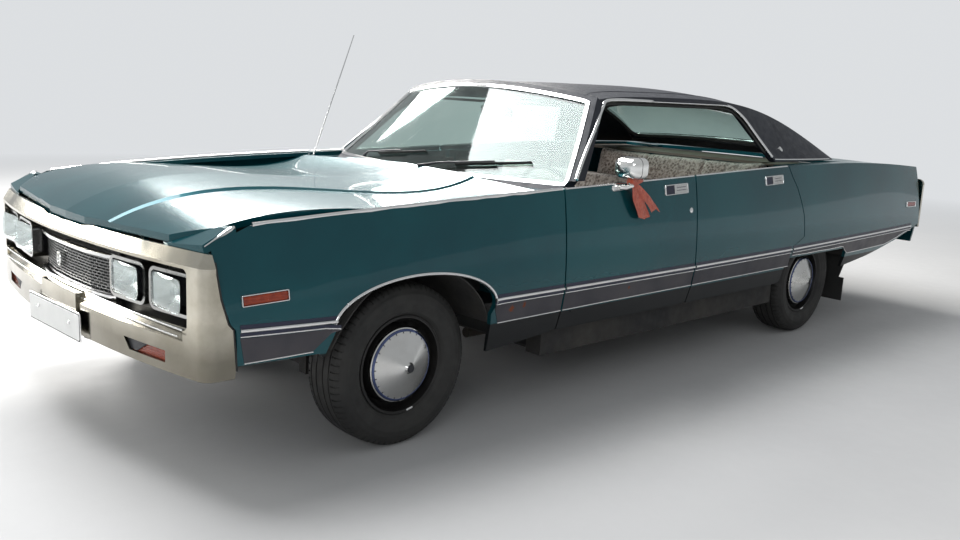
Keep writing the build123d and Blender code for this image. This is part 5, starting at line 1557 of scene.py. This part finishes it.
def make_dash():
    """The padded dash top, the instrument cluster with its dials, the wood strip, vents, radio and glove box."""
    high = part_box("dashboard")[1]
    rear, top = high.x, high.z
    ys = [-0.78 + 1.56 * k / 26 for k in range(27)]
    roll = [(vec(rear - 0.012, y, top - 0.012), (Z + X * 0.5).normalized()) for y in ys]
    dress(swept("dash_roll", roll, half_round(0.075, 0.036, 8)), card_vinyl)
    fitted("dash_strip", (rear - 0.004, -0.77, top - 0.115), (rear + 0.008, 0.77, top - 0.075), 0.003, wood_strip)
    fitted("dash_cluster", (rear - 0.006, -0.66, top - 0.150), (rear + 0.020, -0.14, top - 0.035), 0.012,
           dark_panel)
    rings, faces = [], []
    for y, size in ((-0.56, 0.040), (-0.46, 0.040), (-0.35, 0.040), (-0.24, 0.034)):
        place = facing(rear + 0.020, y, top - 0.090)
        rings.append(lathe("dial", ((0.0, size), (0.004, size), (0.005, size - 0.003), (0.001, size - 0.005)), 28,
                           place))
        faces.append(lathe("face", ((0.0012, size - 0.004), (0.0014, 0.0001)), 28, place))
    dress(join("dial_rings", rings), bright)
    dress(join("dial_faces", faces), line_blue)
    knobs = [lathe("knob", ((0.0, 0.010), (0.014, 0.009), (0.017, 0.006), (0.017, 0.0001)), 20,
                   facing(rear + 0.004, y, top + z))
             for y, z in ((-0.08, -0.10), (0.10, -0.10), (-0.05, -0.135), (0.07, -0.135), (0.62, -0.14))]
    dress(join("dash_knobs", knobs), bright)
    fitted("dash_radio", (rear - 0.004, -0.05, top - 0.112), (rear + 0.010, 0.07, top - 0.078), 0.004, dark_panel)
    fitted("glove_door", (rear - 0.004, 0.20, top - 0.230), (rear + 0.007, 0.56, top - 0.125), 0.006, card_vinyl)
    vents = [box_piece("vent", (rear, y - 0.035, top - 0.068 + 0.008 * k),
                       (rear + 0.010, y + 0.035, top - 0.064 + 0.008 * k), 0.001)
             for y in (-0.72, 0.15, 0.70) for k in range(5)]
    dress(join("dash_vents", vents), dark_panel)


def make_cabin_bits():
    """The inner mirror on its stem and the sun visors."""
    fitted("inner_mirror", (-0.600, -0.115, 1.235), (-0.586, 0.115, 1.285), 0.006, dark_panel)
    roof_inner = roof_surface.ray_cast(vec(-0.60, 0.0, 1.15), Z)[0]
    stem = rod("inner_mirror_stem", [vec(-0.594, 0, 1.27), vec(-0.60, 0, roof_inner.z + 0.004)], 0.006)
    dress(stem, bright)
    for side, y0, y1 in (("left", -0.54, -0.12), ("right", 0.12, 0.54)):
        fitted("visor_" + side, (-0.585, y0, 1.300), (-0.455, y1, 1.312), 0.005, headliner)


make_seat_bases()
make_door_cards()
make_dash()
make_cabin_bits()


# Cowl, wipers and hood

def make_cowl_details():
    """The cowl's dark air slots and the two wipers."""
    cowl_tree = surface("cowl", "windshield_frame", "hood", "windshield")
    corners = []
    x0, x1 = [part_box("cowl")[1].x - back for back in (0.262, 0.242)]
    for y in [side * (0.12 + 0.036 * k) for side in (-1, 1) for k in range(16)]:
        hit = cowl_tree.ray_cast(vec((x0 + x1) / 2, y, 1.2), -Z)[0]
        if hit is not None:
            corners.append(((x0, y - 0.012, hit.z - 0.002), (x1, y + 0.012, hit.z + 0.0012)))
    dress(blocks("cowl_slots", corners), dark_panel)
    for name, pivot_y, tip_y in (("left", -0.10, -0.62), ("right", 0.52, 0.02)):
        ways = []
        for k in range(13):
            start = vec(-2.0, pivot_y + (tip_y - pivot_y) * k / 12, 0.992 + 0.055 * k / 12)
            hit, out, _, _ = cowl_tree.ray_cast(start, X)
            ways.append((hit, out if out.x < 0 else -out))
        spine = [(p + out * 0.003, out) for p, out in ways[3:]]
        dress(swept("wiper_blade_" + name, spine, flat_strip(0.006, 0.012)), rubber)
        arm = [p + out * 0.022 for p, out in ways[:9]]
        arm[0] = arm[0] - Z * 0.020
        arm = rod("wiper_arm_" + name, arm, [0.009] + [0.0045] * (len(arm) - 1))
        dress(arm, dark_panel)


make_cowl_details()


# Tail

def make_tail_details():
    """The tail lamps' bright bars, the ribbed centre panel, the blank rear plate and the lid's lock."""
    low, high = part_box("tail_lamps")
    face, panel_face, bumper_face = [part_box(name)[1].x for name in ("tail_lamps", "tail_panel", "rear_bumper")]
    bars = []
    for side, side_name in ((-1, "left"), (1, "right")):
        y0, y1 = sorted((side * 0.372, side * (high.y - 0.012)))
        for k in range(1, 4):
            z = low.z + (high.z - low.z) * k / 4
            bars.append(box_piece("bar", (face - 0.004, y0, z - 0.003), (face + 0.004, y1, z + 0.003), 0.001))
        y0, y1 = sorted((side * 0.566, side * 0.634))
        for y in (y0, y1 - 0.004):
            bars.append(box_piece("post", (face - 0.004, y, low.z + 0.006),
                                  (face + 0.006, y + 0.004, high.z - 0.006), 0.001))
        fitted("reverse_lamp_" + side_name, (face - 0.004, y0 + 0.006, low.z + 0.010),
               (face + 0.003, y1 - 0.006, high.z - 0.010), 0.003, lens_clear)
    dress(join("tail_lamp_bars", bars), bright)
    ribs = []
    for k in range(12):
        z = low.z + 0.006 + (high.z - low.z - 0.012) * k / 11
        ribs.append(box_piece("rib", (panel_face - 0.004, -0.350, z - 0.0025),
                              (panel_face + 0.006, 0.350, z + 0.0025), 0.001))
    dress(join("tail_panel_ribs", ribs), bezel_metal)
    make_plate("rear_", facing(bumper_face + 0.001, 0, 0.630, radians(-90)),
               ((-0.002, 0.0015), (-0.002, 0.0028), (-0.002, 0.0036)))
    lock = lathe("lid_lock", ((0.0, 0.017), (0.004, 0.016), (0.006, 0.012), (0.006, 0.0001)), 28,
                 facing(panel_face, 0, high.z + 0.025))
    dress(settle(lock), bright)


make_tail_details()


# Engine bay and trunk

def make_engine_bay():
    """The air cleaner, rocker covers, radiator, hoses and leads round the plain engine block."""
    low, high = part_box("engine")
    middle = (low + high) / 2
    top = high.z
    cleaner = lathe("air_cleaner", (
        (0.0, 0.0001), (0.0, 0.165), (0.012, 0.176), (0.055, 0.176), (0.066, 0.168), (0.070, 0.150),
        (0.072, 0.028), (0.078, 0.024), (0.084, 0.010), (0.084, 0.0001)), 64, Matrix.Rotation(-pi / 2, 4, "X"))
    lift = top + 0.004
    cleaner.data.transform(Matrix.Translation(vec(middle.x, 0, lift)))
    dress(settle(cleaner), dark_panel)
    bends = [vec(middle.x - back, y, lift + rise) for back, y, rise in (
        (0.15, -0.06, 0.030), (0.24, -0.10, 0.028), (0.31, -0.12, 0.020))]
    dress(rod("air_snout", bends, [0.030, 0.030, 0.036], 20), dark_panel)
    covers = []
    for side in (-1, 1):
        y0, y1 = sorted((side * (high.y - 0.095), side * (high.y - 0.010)))
        covers.append(box_piece("cover", (low.x + 0.06, y0, top - 0.002), (high.x - 0.06, y1, top + 0.026), 0.012))
    dress(join("rocker_covers", covers), cast_iron)
    core_x = low.x - 0.13
    pieces = [box_piece("core", (core_x - 0.03, -0.33, 0.37), (core_x + 0.02, 0.33, 0.80), 0.006),
              box_piece("tank", (core_x - 0.042, -0.34, 0.785), (core_x + 0.032, 0.34, 0.825), 0.012)]
    for y in [-0.32 + 0.64 * k / 43 for k in range(44)]:
        pieces.append(box_piece("fin", (core_x + 0.018, y - 0.0015, 0.38), (core_x + 0.024, y + 0.0015, 0.785),
                                0.0004))
    dress(join("radiator", pieces), under_black)
    bends = [vec(core_x, 0.20, 0.80), vec(core_x + 0.05, 0.17, 0.83),
             vec(low.x + 0.05, 0.10, top + 0.012), vec(low.x + 0.12, 0.06, top + 0.002)]
    hoses = [rod("hose", bends, [0.020, 0.020, 0.020, 0.022], 16)]
    for k in range(4):
        x, y = low.x + 0.12 + 0.12 * k, (-1) ** k * (high.y - 0.05)
        bends = [vec(x, y, top + 0.024), vec(x + 0.02, y * 0.75, top + 0.050),
                 vec(middle.x + 0.22, y * 0.15, top + 0.040)]
        hoses.append(rod("lead", bends, 0.004, 8))
    dress(join("bay_hoses", hoses), rubber)


def make_trunk_mat():
    """The ribbed rubber mat on the trunk floor."""
    corners = []
    floor_tree = surface("floor_pan")
    for y in [-0.46 + 0.04 * k for k in range(24)]:
        hit = floor_tree.ray_cast(vec(2.2, y, 0.85), -Z)[0]
        if hit is not None:
            corners.append(((1.80, y - 0.017, hit.z - 0.001), (2.62, y + 0.017, hit.z + 0.006)))
    dress(blocks("trunk_mat", corners), rubber)


make_engine_bay()
make_trunk_mat()


# Wheels

# A tyre's tread: how often its pattern repeats round it, its radius, and its grooves' distances from the middle
tread_pitches = 72
tread_radius = 0.3195
groove_places = (0.020, 0.053)
cap_slots, rim_slots = 24, 18


def tyre_rows():
    """Half of the tyre's section from the middle of the tread to the bead: (axial, radius, is shoulder)."""
    rows = [(0.0, tread_radius, 0)]
    for place in groove_places:
        for shift, depth in ((-0.0035, 0.0), (-0.0025, 0.007), (0.0025, 0.007), (0.0035, 0.0)):
            axial = place + shift
            rows.append((axial, tread_radius - 0.0035 * (axial / 0.078) ** 2 - depth, 0))
    rows += [(0.060, 0.3172, 0), (0.0605, 0.3171, 1), (0.078, 0.3145, 1), (0.086, 0.3085, 1), (0.0915, 0.300, 1),
             (0.0925, 0.298, 0), (0.0975, 0.286, 0), (0.0985, 0.285, 0), (0.1000, 0.283, 0), (0.1015, 0.272, 0),
             (0.1022, 0.262, 0), (0.1030, 0.2600, 0), (0.1030, 0.2560, 0), (0.1022, 0.254, 0), (0.1010, 0.242, 0),
             (0.0975, 0.226, 0), (0.0925, 0.214, 0), (0.0925, 0.2105, 0), (0.0880, 0.2045, 0),
             (0.0800, 0.1985, 0), (0.0745, 0.1935, 0), (0.0738, 0.1905, 0)]
    return rows


def make_tyre(name, centre):
    """A tyre with four grooves and cross cuts in its shoulders."""
    half = tyre_rows()
    rows = [(-a, r, s) for a, r, s in reversed(half[1:])] + half
    angles = []
    for pitch in range(tread_pitches):
        for share, cut in ((0.0, 0), (0.05, 1), (0.20, 1), (0.25, 0), (0.62, 0)):
            angles.append((2 * pi * (pitch + share) / tread_pitches, cut))
    verts = []
    for axial, radius, shoulder in rows:
        for turn, cut in angles:
            size = radius - (0.0045 if cut and shoulder else 0.0)
            verts.append(centre + vec(size * cos(turn), axial, size * sin(turn)))
    faces = grid_faces(len(rows), len(angles), closed=True)
    return new_piece(name, verts, faces, 30)


def make_ring_of_pads(name, tree, centre, radius, count, size, lift, start=0.0):
    """Small radial pads laid on a wheel's outer face, as one mesh. Size is (radial, around)."""
    verts, faces = [], []
    for index in range(count):
        turn = start + 2 * pi * index / count
        out = vec(cos(turn), 0, sin(turn))
        around = vec(-sin(turn), 0, cos(turn))
        corners = []
        for a, b in rounded_outline(size[0], size[1], min(size) * 0.42, 2):
            spot = centre + out * (radius + a) + around * b
            hit, _, _, _ = tree.ray_cast(vec(spot.x, centre.y - 0.4, spot.z), Y)
            corners.append(vec(spot.x, (hit.y if hit else spot.y), spot.z))
        start_index = len(verts)
        verts += [corner - Y * lift for corner in corners] + [corner + Y * 0.001 for corner in corners]
        width = len(corners)
        faces.append(tuple(start_index + i for i in range(width)))
        faces += [(start_index + i, start_index + (i + 1) % width, start_index + width + (i + 1) % width,
                   start_index + width + i) for i in range(width)]
    return new_piece(name, verts, faces)


def make_wheels():
    """Detailed tyres in place of the plain ones, and the wheels' slots, ticks, rings, noses, weights and lips."""
    for end in ("front", "rear"):
        wheel = "wheel_" + end
        low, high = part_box("tyre_" + end + "_left")
        centre = (low + high) / 2
        pair = dress_pair(make_tyre("tyre_detail_" + end, centre), tyre_rubber, wheel)
        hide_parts("tyre_" + end + "_left")
        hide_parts("tyre_" + end + "_right")
        rim_tree = surface("rim_" + end + "_left")
        cap_tree = surface("hubcap_" + end + "_left")
        slots = make_ring_of_pads("rim_slots_" + end, rim_tree, centre, 0.1605, rim_slots, (0.009, 0.026), 0.0008)
        dress_pair(slots, rubber, wheel)
        ticks = make_ring_of_pads("cap_ticks_" + end, cap_tree, centre, 0.1315, cap_slots, (0.011, 0.0035), 0.0007)
        dress_pair(ticks, dark_panel, wheel)
        cap_low, cap_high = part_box("hubcap_" + end + "_left")
        hoop_radius = (cap_high.z - cap_low.z) / 2 - 0.009
        turns = [2 * pi * k / 72 for k in range(72)]
        hoop = [centre + vec(hoop_radius * cos(turn), -0.3, hoop_radius * sin(turn)) for turn in turns]
        # The dark blue ring near the cap's rim is a painted dark reflection
        ring = swept("cap_ring_" + end, laid(cap_tree, hoop, Y, 0.6), flat_strip(0.011, 0.0016), loop=True)
        dress_pair(ring, cap_blue, wheel)
        button = lathe("cap_nose_" + end, ((-0.004, 0.0165), (0.0015, 0.0160), (0.004, 0.0125), (0.005, 0.006),
                                           (0.005, 0.0001)), 40, centre=vec(centre.x, cap_low.y, centre.z))
        dress_pair(button, dark_panel, wheel)
        weight = soft_block("wheel_weight_" + end, (0.032, 0.010, 0.010), 0.003)
        turn = radians(-76)
        place = (Matrix.Translation(centre + vec(0.189 * cos(turn), -0.080, 0.189 * sin(turn)))
                 @ Matrix.Rotation(-turn - pi / 2, 4, "Y"))
        dress_pair(moved(weight, place), bright, wheel)
        lip = lathe("rim_lip_" + end, ((0.0795, 0.1880), (0.0815, 0.1905), (0.0815, 0.1935), (0.0795, 0.1950),
                                       (0.0770, 0.1945)), 128, centre=centre)
        dress_pair(lip, rim_black, wheel)


make_wheels()
